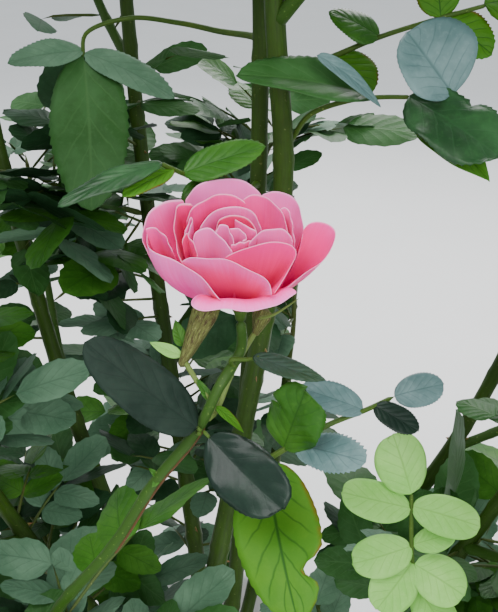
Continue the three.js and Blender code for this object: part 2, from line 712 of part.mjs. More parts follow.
// Foliage that the front view shows leaf by leaf: the limb it grows on, its stem and its leaves.
// A leaf is [root, tip, width, facing], places are right, up and back of the first bloom.
const FRONTWARD = point(0, -0.55, 0.83);
const HANGING = point(0, -0.95, 0.3);
const SHOWN = {
  leaves_on_flowering_stem: {
    seat: 'flowering_stem', colour: 'dark', radius: 1.9, stem: [[-20, -84, 39], [-19, -84, 32.5]],
    leaves: [
      [[-19, -83, 33], [-69, -43, 8], 27, FRONTWARD],
      [[-17, -84.5, 32.8], [13, -118, 10], 29, FRONTWARD],
    ],
  },
  leaves_behind_flowering_stem: {
    seat: 'flowering_stem', colour: 'dark', radius: 1.4,
    stem: [[-4, -50, 30], [3, -50, 32], [9, -48.5, 28.5]],
    leaves: [[[6, -48.6, 29.8], [35, -58, 10], 15, FRONTWARD]],
  },
  leaves_right_of_bloom: {
    seat: 'cane_tall_right', colour: 'mid', radius: 2,
    stem: [
      [5, -126, 156], [6, -114, 100], [11, -102, 60], [28, -91, 55], [43, -83, 56], [61, -77, 62],
      [77, -71, 70],
    ],
    leaves: [
      [[12, -102, 58], [21, -160, 8], 40, HANGING], [[24, -93.5, 55.5], [30, -64, 22], 29, FRONTWARD],
      [[26, -93, 55], [56, -94, 26], 20, FRONTWARD], [[77, -71, 70], [99, -63, 62], 18, FRONTWARD],
      [[66, -75, 64], [86, -86, 56], 14, FRONTWARD], [[60, -77, 62], [30, -63, 48], 16, FRONTWARD],
    ],
  },
  leaves_lower_right: {
    seat: 'cane_right_front', colour: 'young', radius: 1.8,
    stem: [[97, -225, 190], [102, -214, 120], [96, -190, 104], [90, -160, 92], [88, -121, 84]],
    leaves: [
      [[88, -123, 84], [79, -92, 78], 28, FRONTWARD], [[88, -131, 86], [52, -121, 74], 22, FRONTWARD],
      [[89, -130, 86], [121, -136, 74], 22, FRONTWARD], [[89, -152, 90], [59, -158, 78], 22, FRONTWARD],
      [[90, -151, 90], [110, -143, 82], 14, FRONTWARD], [[90, -161, 92], [70, -180, 76], 24, FRONTWARD],
      [[91, -162, 92], [115, -173, 80], 26, FRONTWARD], [[94, -176, 98], [108, -198, 84], 22, FRONTWARD],
    ],
  },
  leaves_upper_right: {
    seat: 'cane_tall_right', colour: 'dark', radius: 1.7,
    stem: [[21, 54, 80], [25, 57, 64], [33, 66, 50], [51, 70, 38], [64, 69, 28], [76, 67, 20]],
    leaves: [
      [[60, 70, 30], [3, 79, 2], 25, FRONTWARD], [[75, 67, 20], [110, 39, -4], 34, FRONTWARD],
      [[76, 68, 20], [72, 98, 18], 34, FRONTWARD],
    ],
  },
  leaves_upper_right_back: {
    seat: 'cane_tall_left', colour: 'young', radius: 1.7,
    stem: [[12, 90, 82], [30, 94, 68], [44, 97, 62], [67, 105, 56], [96, 113, 52], [118, 118, 48]],
    leaves: [
      [[46, 98, 62], [63, 78, 50], 24, FRONTWARD], [[67, 105, 56], [44, 118, 50], 20, FRONTWARD],
      [[96, 113, 52], [120, 96, 46], 24, FRONTWARD], [[116, 118, 48], [150, 122, 40], 26, FRONTWARD],
      [[96, 113, 52], [92, 136, 44], 22, FRONTWARD],
    ],
  },
  leaves_left_of_bloom: {
    seat: 'cane_tall_left', colour: 'light', radius: 1.7,
    stem: [[9, 40, 99], [2, 33, 78], [-8, 30, 58], [-19, 33, 40], [-27, 35, 30], [-36, 38, 21]],
    leaves: [
      [[-35, 38, 21], [-77, 22, 0], 19, FRONTWARD], [[-26, 35, 31], [10, 47, 22], 20, FRONTWARD],
      [[-30, 36, 26], [-50, 24, 10], 14, FRONTWARD], [[-20, 33, 38], [-24, 14, 28], 14, FRONTWARD],
    ],
  },
  leaves_far_left: {
    seat: 'cane_tall_left', colour: 'dark', radius: 1.9,
    stem: [[7, 112, 78], [-12, 124, 106], [-36, 134, 122], [-64, 138, 126], [-88, 128, 122], [-89, 113, 118]],
    leaves: [
      [[-89, 116, 119], [-76, 28, 95], 43, HANGING], [[-89, 117, 119], [-127, 111, 104], 24, FRONTWARD],
      [[-88, 116, 119], [-36, 94, 100], 25, FRONTWARD],
    ],
  },
};

// A shown stem starts inside the limb that carries it, at the place nearest to its first point
function shownStem({ seat, stem }) {
  const places = stem.map((spot) => fromBloom(...spot));
  const near = limbs[seat].curve.getSpacedPoints(SEAT_TESTS)
    .reduce((best, p) => (p.distanceTo(places[0]) < best.distanceTo(places[0]) ? p : best));
  return [near, ...places];
}

// Foliage grown by rule: its limb, how far along it, heading, rise and seed. At 1 the shoot carries
// the limb's tip on, and has no heading of its own.
const SHOOTS = {
  foliage_top_right: ['cane_tall_right', 1, 0, 0, 101],
  foliage_top_left: ['cane_tall_left', 1, 0, 0, 102],
  foliage_right_front_tip: ['cane_right_front', 1, 0, 0, 103],
  foliage_right_back_tip: ['cane_right_back', 1, 0, 0, 104],
  foliage_back_tip: ['cane_back', 1, 0, 0, 105],
  foliage_left_back_tip: ['cane_left_back', 1, 0, 0, 106],
  foliage_left_tip: ['cane_left', 1, 0, 0, 107],
  foliage_tall_right: ['bough_tall_right', 1, 0, 0, 108],
  foliage_tall_left: ['bough_tall_left', 1, 0, 0, 109],
  foliage_right_front: ['bough_right_front', 1, 0, 0, 110],
  foliage_right_back_low: ['bough_right_back_low', 1, 0, 0, 111],
  foliage_back_low: ['bough_back_low', 1, 0, 0, 112],
  foliage_back_high: ['bough_back_high', 1, 0, 0, 113],
  foliage_left_back_low: ['bough_left_back_low', 1, 0, 0, 114],
  foliage_left_low: ['bough_left_low', 1, 0, 0, 115],
  foliage_left_high: ['bough_left_high', 1, 0, 0, 116],
  foliage_back_right_tip: ['cane_back_right', 1, 0, 0, 117],
  foliage_inner_back: ['cane_back', 0.55, 200, 24, 118],
  foliage_inner_left: ['cane_left', 0.55, 150, 24, 119],
  foliage_foot_right: ['cane_right_front', 0.42, 40, 20, 120],
  foliage_foot_left: ['cane_left', 0.26, 130, 24, 121],
  foliage_foot_back: ['cane_back', 0.24, 100, 20, 122],
  foliage_front_left: ['cane_front_old', 0.7, 200, 20, 123],
};

// Where a shoot starts and which way it heads
function shootFrame([limbName, t, heading, rise, seed]) {
  const parent = limbs[limbName];
  const atTip = t === 1;
  const tangent = parent.curve.getTangentAt(t);
  const out = atTip ? tangent : rising(heading, rise);
  const foot = parent.curve.getPointAt(t);
  if (atTip) foot.addScaledVector(tangent, GAP);
  const random = seeded(seed);
  const lean = point(random() - 0.5, random() - 0.5, 0.5).multiplyScalar(0.5);
  const ahead = out.clone().add(lean).normalize();
  const elbow = foot.clone().addScaledVector(out, SHOOT.length / 2);
  const points = [foot, elbow, elbow.clone().addScaledVector(ahead, SHOOT.length / 2)];
  const centre = foot.clone()
    .addScaledVector(out, SHOOT.length * SHOOT.middle)
    .addScaledVector(UP, SHOOT.middleRise);
  return { points, centre, random, limbName, atTip };
}

const shoots = Object.fromEntries(Object.entries(SHOOTS).map(([name, row]) => [name, shootFrame(row)]));

// What foliage has to stay clear of: limbs, blooms, the stems of other shoots and the shown leaves
const obstacles = [];
function addObstacle(owner, line) {
  for (let i = 0; i + 1 < line.length; i += 1) obstacles.push({ owner, a: line[i], b: line[i + 1] });
}
for (const [name, piece] of Object.entries(limbs)) addObstacle(name, piece.line);
for (const { at, radius } of bloomSpots) addObstacle('bloom', [{ at, radius }, { at, radius }]);
for (const bud of Object.values(BUDS)) {
  const spots = [...bud.stalk, bud.tip];
  addObstacle('bud', spots.map((spot) => ({ at: fromBloom(...spot), radius: BUD_STALK.reach })));
}
for (const [name, { points }] of Object.entries(shoots)) {
  addObstacle(name, points.map((at) => ({ at, radius: SHOOT.radius })));
}
for (const [name, shown] of Object.entries(SHOWN)) {
  addObstacle(name, shownStem(shown).map((at) => ({ at, radius: shown.radius })));
  for (const [root, tip, width] of shown.leaves) {
    addObstacle(name, [root, tip].map((spot) => ({ at: fromBloom(...spot), radius: width * 0.5 })));
  }
}

function distanceTo(segment, p) {
  const { a, b } = segment;
  const along = b.at.clone().sub(a.at);
  const length2 = along.lengthSq();
  const t = length2 > 0 ? THREE.MathUtils.clamp(p.clone().sub(a.at).dot(along) / length2, 0, 1) : 0;
  const nearest = a.at.clone().addScaledVector(along, t);
  return nearest.distanceTo(p) - THREE.MathUtils.lerp(a.radius, b.radius, t);
}

function clearOfLimbs(p, owners) {
  return obstacles.every((segment) => owners.includes(segment.owner) || distanceTo(segment, p) > LIMB_MARGIN);
}

// Each shoot keeps to the space that is nearer to its own centre than to any other
function inOwnSpace(p, name) {
  const own = shoots[name].centre;
  return Object.entries(shoots).every(([other, { centre }]) => {
    if (other === name) return true;
    const nearer = p.distanceToSquared(centre) - p.distanceToSquared(own);
    return nearer / (2 * own.distanceTo(centre)) > CELL_MARGIN;
  });
}

// Nothing grown by rule hides the first bloom or fills the gap to the right of it
function leavesViewOpen(p) {
  const seen = p.clone().sub(EYE);
  const depth = seen.dot(EYE_AHEAD);
  if (depth < 20) return true;
  const x = seen.dot(EYE_RIGHT) / depth;
  const y = seen.dot(EYE_UP) / depth;
  const inFrame = Math.abs(x) < VIEW_HALF.across && Math.abs(y) < VIEW_HALF.tall;
  if (inFrame && depth < VIEW.distance + VIEW_HALF.behind) return false;
  return !(x > VIEW_GAP.left && x < VIEW_GAP.right && y > VIEW_GAP.low && y < VIEW_GAP.high);
}

const POT_CLEAR = { above: 12, inside: 40, overMedium: 20 };
function abovePot(p) {
  const overMedium = Math.hypot(p.x, p.y) < POT.rimRadius - POT_CLEAR.inside
    && p.z > MEDIUM.level + POT_CLEAR.overMedium;
  return p.z > POT.height + POT_CLEAR.above || overMedium;
}

function fits(p, name, owners) {
  return abovePot(p) && leavesViewOpen(p) && inOwnSpace(p, name) && clearOfLimbs(p, owners);
}

// Leaves of one shoot: spaced round the stem by a fixed turn, tried again further round if blocked
const LEAF_TURN = THREE.MathUtils.degToRad(144);
function growShoot(name) {
  const { points, random, limbName } = shoots[name];
  const stem = limb(points, [SHOOT.radius, SHOOT.tip], 3, SHOOT.length / 2);
  const owners = [name];
  const grown = [];
  for (let i = 0; i < SHOOT.leaves; i += 1) {
    const t = SHOOT.bare + ((1 - SHOOT.bare) * i) / (SHOOT.leaves - 1);
    const tangent = stem.curve.getTangentAt(t);
    const across = ACROSS.clone().addScaledVector(tangent, -ACROSS.dot(tangent)).normalize();
    const size = SHOOT.smallest + SHOOT.spread * random();
    const jitter = random() - 0.5;
    for (let attempt = 0; attempt < SHOOT.tries; attempt += 1) {
      const angle = i * LEAF_TURN + jitter + attempt * SHOOT.retry;
      const radial = across.clone().applyAxisAngle(tangent, angle);
      const forward = i === SHOOT.leaves - 1 ? SHOOT.endForward : SHOOT.forward;
      const out = radial.addScaledVector(tangent, forward).addScaledVector(UP, SHOOT.lift).normalize();
      const luck = seeded(i * 31 + attempt * 7 + Math.floor(size * 1e4));
      const pairs = i === 0 ? LEAF.pairs.slice(2) : LEAF.pairs;
      const leaf = pinnateLeaf(stem.curve.getPointAt(t), out, luck, size, pairs);
      const stalkClear = leaf.stalk.slice(1).every((p) => fits(p, name, [...owners, limbName]));
      const kept = leaf.leaves.filter((leaflet) => leafPlaces(leaflet).every((p) => fits(p, name, owners)));
      if (stalkClear && kept.length >= SHOOT.leastLeaflets) {
        grown.push({ stalk: leaf.stalk, leaves: kept });
        break;
      }
    }
  }
  return { stem, grown };
}

function buildShoots() {
  for (const [name, { limbName, atTip }] of Object.entries(shoots)) {
    const { stem, grown } = growShoot(name);
    const solids = [solidOf(stem.geometry)];
    for (const { stalk, leaves } of grown) {
      solids.push(solidOf(tube(ringsAt(stalk), [LEAF.radius, LEAF.tip], 3)));
      for (const leaf of leaves) solids.push(solidOf(blade(leaf)));
    }
    let whole = joined(solids);
    if (!atTip) whole = whole.subtract(fatter(limbs[limbName], GAP));
    addPart(name, mainBody(whole), COLOURS.mid, 0.5);
  }
}

function buildShownFoliage() {
  for (const [name, shown] of Object.entries(SHOWN)) {
    const stem = limb(shownStem(shown), [shown.radius, shown.radius * 0.7], 4, 25);
    const solids = [solidOf(stem.geometry)];
    for (const [root, tip, width, facing] of shown.leaves) {
      solids.push(solidOf(blade(leafAt(fromBloom(...root), fromBloom(...tip), width, facing))));
    }
    const whole = joined(solids).subtract(fatter(limbs[shown.seat], GAP));
    addPart(name, mainBody(whole), COLOURS[shown.colour], 0.45);
  }
}

buildPot();
buildMedium();
buildUnion();
buildLimbs();
buildFirstBloom();
buildLaterBlooms();
buildBuds();
buildShownFoliage();
buildShoots();

export default plant;
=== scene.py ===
"""Potted rose bush: a pink rose with arching canes and pinnate leaves, in a round white pot."""

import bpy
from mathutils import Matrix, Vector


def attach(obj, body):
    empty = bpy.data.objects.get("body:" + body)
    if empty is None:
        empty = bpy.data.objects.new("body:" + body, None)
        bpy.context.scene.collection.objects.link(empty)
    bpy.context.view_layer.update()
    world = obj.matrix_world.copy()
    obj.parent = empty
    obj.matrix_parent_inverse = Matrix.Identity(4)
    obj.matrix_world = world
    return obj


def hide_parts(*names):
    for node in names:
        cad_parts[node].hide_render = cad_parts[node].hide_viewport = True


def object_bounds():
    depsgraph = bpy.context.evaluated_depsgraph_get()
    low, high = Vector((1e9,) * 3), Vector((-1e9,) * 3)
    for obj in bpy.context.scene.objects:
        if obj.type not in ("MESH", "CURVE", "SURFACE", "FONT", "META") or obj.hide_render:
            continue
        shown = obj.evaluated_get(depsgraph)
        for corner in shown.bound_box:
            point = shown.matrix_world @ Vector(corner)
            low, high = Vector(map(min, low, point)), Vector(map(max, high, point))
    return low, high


bl_info = {
    "name": "Potted rose bush",
    "version": (1, 0, 0),
    "blender": (4, 5, 0),
    "location": "3D View > Sidebar > Rose bush",
    "description": "Builds a rose bush in flower in a round white pot, piece by piece",
    "category": "Add Mesh",
}

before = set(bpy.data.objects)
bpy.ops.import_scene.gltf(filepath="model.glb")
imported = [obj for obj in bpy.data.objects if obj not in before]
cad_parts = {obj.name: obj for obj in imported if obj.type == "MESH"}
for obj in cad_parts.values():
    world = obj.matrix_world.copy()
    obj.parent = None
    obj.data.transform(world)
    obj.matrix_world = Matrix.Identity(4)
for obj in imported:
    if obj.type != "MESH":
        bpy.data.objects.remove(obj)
CAD_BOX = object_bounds()

import math
from functools import partial

import bmesh
import bpy
import numpy as np
from bpy.props import FloatProperty, FloatVectorProperty, IntProperty, PointerProperty
from bpy.types import Operator, Panel, PropertyGroup
from mathutils import Vector, noise

# Shape code works in millimetres and a finished mesh is in metres
MM = 0.001
BODY = "root"

# Sizes shared with the solids
GAP = 0.3
POT = {
    "height": 280, "rim": 150, "foot": 107, "wall": 4, "floor": 6, "collar": 34, "lip": 8, "step": 5,
}
MEDIUM = {"level": 246, "crown": 6}
UNION = {"radius": 25, "heart": 25.3, "stub": 46}
LATERAL = {"length": 105, "radius": 3.6, "tip": 2.4, "lift": 0.35}
SHOOT = {
    "length": 84, "radius": 2.3, "tip": 1.5, "leaves": 4, "tries": 4, "lean": 0.5, "middle": 0.55,
    "above": 8, "first": 0.3, "ahead": 0.5, "last_ahead": 1.4, "rise": 0.25,
}
LEAF = {
    "petiole": 32, "rachis": 46, "radius": 1.5, "tip": 1.1, "bend": 0.6, "droop": 0.22,
    "terminal": 60, "side": 50, "slim": 0.62,
}
LEAF_PAIRS = ((0.42, 0.86, -1), (0.46, 0.86, 1), (0.75, 1, -1), (0.79, 1, 1))
# Sizes of leaves against the usual one, as the least and how much a random draw adds
LEAF_SIZES = {"leaflet": (0.9, 0.2), "shoot": (0.82, 0.3), "finer": (0.6, 0.36)}
# How leaflets face up and point, and how far that strays
LEAFLET = {"back": 0.35, "stray": 0.5, "ahead": 0.5, "rise": 0.1, "last": 0.985}
# How far leaves keep off the space of other shoots, off limbs and off the pot
CELL_MARGIN = 0.6
LIMB_MARGIN = 3.2
POT_MARGIN = {"inside": 40, "medium": 20, "rim": 12}
# How far a calyx reaches below the foot of its bloom
CALYX_LOW = 6.5
# Leaves turn round their shoot from one to the next, and a leaf that doesn't fit is turned a little
LEAF_TURN = math.radians(144)
TRY_TURN = 1.3
FINER = {
    "seed": 977, "reach": 95, "tries": 6, "start": 6.28, "turn": 1.05, "ahead": 0.35, "rise": (-0.1, 0.5),
}

# The front view: where it is seen from, and what stays open there
PITCH = math.radians(28)
VIEW = {"distance": 357, "right": 3.8, "up": -25.6, "near": 20}
VIEW_HALF = {"across": 0.31, "tall": 0.38, "behind": 105}
VIEW_GAP = {"left": 0.06, "right": 0.31, "low": -0.11, "high": 0.17}
LENS = 50
SENSOR = 36
CLIP_START = 0.01

BLOOM_CENTRE = np.array((25.0, -130.0, 740.0))
BLOOM_TILT = math.radians(12)
BLOOM_FOOT = -34

UP = np.array((0.0, 0.0, 1.0))
EYE_RIGHT = np.array((1.0, 0.0, 0.0))
EYE_UP = np.array((0.0, math.sin(PITCH), math.cos(PITCH)))
EYE_AHEAD = np.array((0.0, math.cos(PITCH), -math.sin(PITCH)))
BLOOM_AXIS = np.array((0.0, -math.sin(BLOOM_TILT), math.cos(BLOOM_TILT)))


def unit(v):
    return v / np.linalg.norm(v)


def point(*xyz):
    return np.array(xyz, float)


def between(ends, t):
    return ends[0] + (ends[1] - ends[0]) * t


def from_bloom(right, up, back):
    """A place given as it is seen from the front: right, up and back of the first bloom."""
    return BLOOM_CENTRE + EYE_RIGHT * right + EYE_UP * up + EYE_AHEAD * back


def all_from_bloom(places):
    return [from_bloom(*place) for place in places]


EYE = from_bloom(VIEW["right"], VIEW["up"], -VIEW["distance"])
# The side where a tube's seam starts
SIDEWAYS = point(1, 0.3, 0.2)


def seeded(seed):
    """Random numbers, the same on every run and the same as in the part's source."""
    state = seed & 0xFFFFFFFF

    def draw():
        nonlocal state
        state = (state + 0x6D2B79F5) & 0xFFFFFFFF
        t = state
        t = ((t ^ (t >> 15)) * (t | 1)) & 0xFFFFFFFF
        t ^= (t + (((t ^ (t >> 7)) * (t | 61)) & 0xFFFFFFFF)) & 0xFFFFFFFF
        return ((t ^ (t >> 14)) & 0xFFFFFFFF) / 4294967296

    return draw


class Way:
    """A smooth way through places, read by its share of the length."""

    def __init__(self, places):
        self.places = [np.array(p, float) for p in places]
        self.turns = np.linspace(0, 1, 201)
        spots = np.array([self.spot(t) for t in self.turns])
        steps = np.linalg.norm(np.diff(spots, axis=0), axis=1)
        self.lengths = np.concatenate(([0], np.cumsum(steps)))
        self.length = self.lengths[-1]

    def spot(self, t):
        p = self.places
        last = len(p) - 1
        i = min(int(math.floor(last * t)), last - 1)
        w = last * t - i
        before = p[i - 1] if i > 0 else 2 * p[0] - p[1]
        after = p[i + 2] if i + 2 <= last else 2 * p[last] - p[last - 1]
        a, b = p[i], p[i + 1]
        d0, d1, d2 = (max(math.sqrt(np.linalg.norm(q)), 1e-4) for q in (a - before, b - a, after - b))
        t1 = ((a - before) / d0 - (b - before) / (d0 + d1) + (b - a) / d1) * d1
        t2 = ((b - a) / d1 - (after - a) / (d1 + d2) + (after - b) / d2) * d1
        return a + t1 * w + (3 * (b - a) - 2 * t1 - t2) * w ** 2 + (2 * (a - b) + t1 + t2) * w ** 3

    def turn_at(self, share):
        return float(np.interp(share * self.length, self.lengths, self.turns))

    def at(self, share):
        return self.spot(self.turn_at(share))

    def along(self, share):
        t = self.turn_at(share)
        return unit(self.spot(min(t + 1e-4, 1)) - self.spot(max(t - 1e-4, 0)))


# Canes and boughs, by the source's rule
SOIL = MEDIUM["level"] + GAP
HEART = point(0, 0, SOIL + UNION["heart"])
SWEEP = {"steps": 6, "sway": 0.16, "bends": 5}


def sweep(heading, lean_foot, lean_tip, length):
    """A cane grown by rule, from its heading, its lean at foot and tip, and its length."""
    places = []
    at = HEART
    for i in range(SWEEP["steps"] + 1):
        t = i / SWEEP["steps"]
        lean = math.radians(between((lean_foot, lean_tip), t))
        turn = math.radians(heading) + SWEEP["sway"] * math.sin(t * SWEEP["bends"] + heading)
        ahead = point(math.cos(turn) * math.sin(lean), math.sin(turn) * math.sin(lean), math.cos(lean))
        at = at + ahead * (UNION["stub"] if i == 0 else (length - UNION["stub"]) / SWEEP["steps"])
        places.append(at)
    return places


def through(*places):
    """A cane led through places that the front view shows."""
    return [HEART + unit(point(*places[0]) - HEART) * UNION["stub"], *(point(*p) for p in places)]


CANES = {
    "cane_front_old": (through((-34, -66, 372), (-58, -114, 446), (-72, -134, 520)), (8.5, 6.6)),
    "cane_tall_right": (through((-2, -40, 400), (18, -31, 529), (36, -50, 654), (46, -50, 734),
                                (40, -60, 828), (38, -52, 900)), (7.6, 4.4)),
    "cane_tall_left": (through((18, 6, 400), (25, -2, 540), (31, -16, 650), (34, -25, 740),
                               (33, -18, 860), (20, 10, 955)), (6.2, 3.8)),
    "cane_right_front": (sweep(-20, 50, 12, 440), (6, 3.8)),
    "cane_right_back": (sweep(15, 50, 0, 640), (6.5, 3.8)),
    "cane_back_right": (sweep(56, 36, 8, 290), (5.5, 3.8)),
    "cane_back": (sweep(112, 20, 3, 700), (7, 3.8)),
    "cane_left_back": (sweep(152, 27, 4, 650), (6.5, 3.8)),
    "cane_left": (sweep(205, 36, 6, 560), (6, 3.8)),
}
LATERALS = {
    "bough_tall_right": ("cane_tall_right", 0.86, -40, 48),
    "bough_tall_left": ("cane_tall_left", 0.8, 175, 40),
    "bough_right_front": ("cane_right_front", 0.62, -62, 30),
    "bough_right_back_low": ("cane_right_back", 0.42, -8, 34),
    "bough_right_back_high": ("cane_right_back", 0.74, 62, 46),
    "bough_back_low": ("cane_back", 0.4, 52, 34),
    "bough_back_high": ("cane_back", 0.7, 128, 44),
    "bough_left_back_low": ("cane_left_back", 0.42, 108, 34),
    "bough_left_back_high": ("cane_left_back", 0.72, 172, 46),
    "bough_left_low": ("cane_left", 0.4, 228, 26),
    "bough_left_high": ("cane_left", 0.7, 205, 46),
}


def rising(heading, rise):
    h, e = math.radians(heading), math.radians(rise)
    return point(math.cos(h) * math.cos(e), math.sin(h) * math.cos(e), math.sin(e))


def bent_places(foot, out, bent, length):
    """The places of a limb whose first half goes out and whose second half is bent."""
    half = foot + out * length / 2
    return [foot, half, half + bent * length / 2]


# The flowering stem: from the knob of the old cane, by places of the front view, to the bloom's foot
STEM_FROM_KNOB = (GAP, 10)
STEM_PLACES = ((-65, -147, 72), (-42, -111, 54), (-20, -83, 40), (-10, -63, 34))
STEM_BELOW_BLOOM = (-26, -7)
STEM_RADII = (3.1, 2.4)


def grow_limbs():
    """Every limb as its way and its two radii."""
    limbs = {name: (Way(places), radii) for name, (places, radii) in CANES.items()}
    knob = limbs["cane_front_old"][0]
    stem = [knob.at(1) + knob.along(1) * rise for rise in STEM_FROM_KNOB] + all_from_bloom(STEM_PLACES)
    stem += [BLOOM_CENTRE + BLOOM_AXIS * (BLOOM_FOOT + below) for below in STEM_BELOW_BLOOM]
    limbs["flowering_stem"] = (Way(stem), STEM_RADII)
    for name, (cane, share, heading, rise) in LATERALS.items():
        out = rising(heading, rise)
        bent = unit(out + UP * LATERAL["lift"])
        places = bent_places(limbs[cane][0].at(share), out, bent, LATERAL["length"])
        limbs[name] = (Way(places), (LATERAL["radius"], LATERAL["tip"]))
    return limbs


LIMBS = grow_limbs()

# Blooms on other boughs, buds, the leaves that the front view shows, and the shoots grown by rule
LATER_BLOOMS = {
    "bloom_right_back": ("bough_right_back_high", 0.95, 11),
    "bloom_left_back": ("bough_left_back_high", 0.86, 23),
}


def later_bloom_seat(bough, scale):
    axis = LIMBS[bough][0].along(1)
    return LIMBS[bough][0].at(1) + axis * ((CALYX_LOW - BLOOM_FOOT) * scale + GAP), axis


BUDS = {
    "bud_left_of_bloom": {
        "width": 12, "tip": (-11, -17, 46),
        "stalk": ((-13, -71, 37), (-17, -66, 40), (-22, -59, 43), (-27, -51, 45)),
    },
    "bud_right_of_bloom": {
        "width": 9, "tip": (12, -26, 54),
        "stalk": ((-17, -80, 40), (-12, -76, 47), (-4, -57, 50), (8, -36, 53)),
    },
}

# A bud's outline: share of its height and radius as a share of its width, from a stalk of 1.5 mm
BUD_SHAPE = ((0, 1.5), (0.12, 0.2), (0.35, 0.34), (0.65, 0.5), (0.85, 0.42), (1, 0.03))

FRONTWARD = point(0, -0.55, 0.83)
HANGING = point(0, -0.95, 0.3)
YOUNG_ROUND = {"ends": (0.5, 0.44), "teeth": 0.0, "fold": 0.05, "pleat": 1.2}


def shown(root, tip, width, facing=FRONTWARD, **look):
    """A leaf that the front view shows. Its look says where it differs from its spray's leaves."""
    return root, tip, width, facing, look


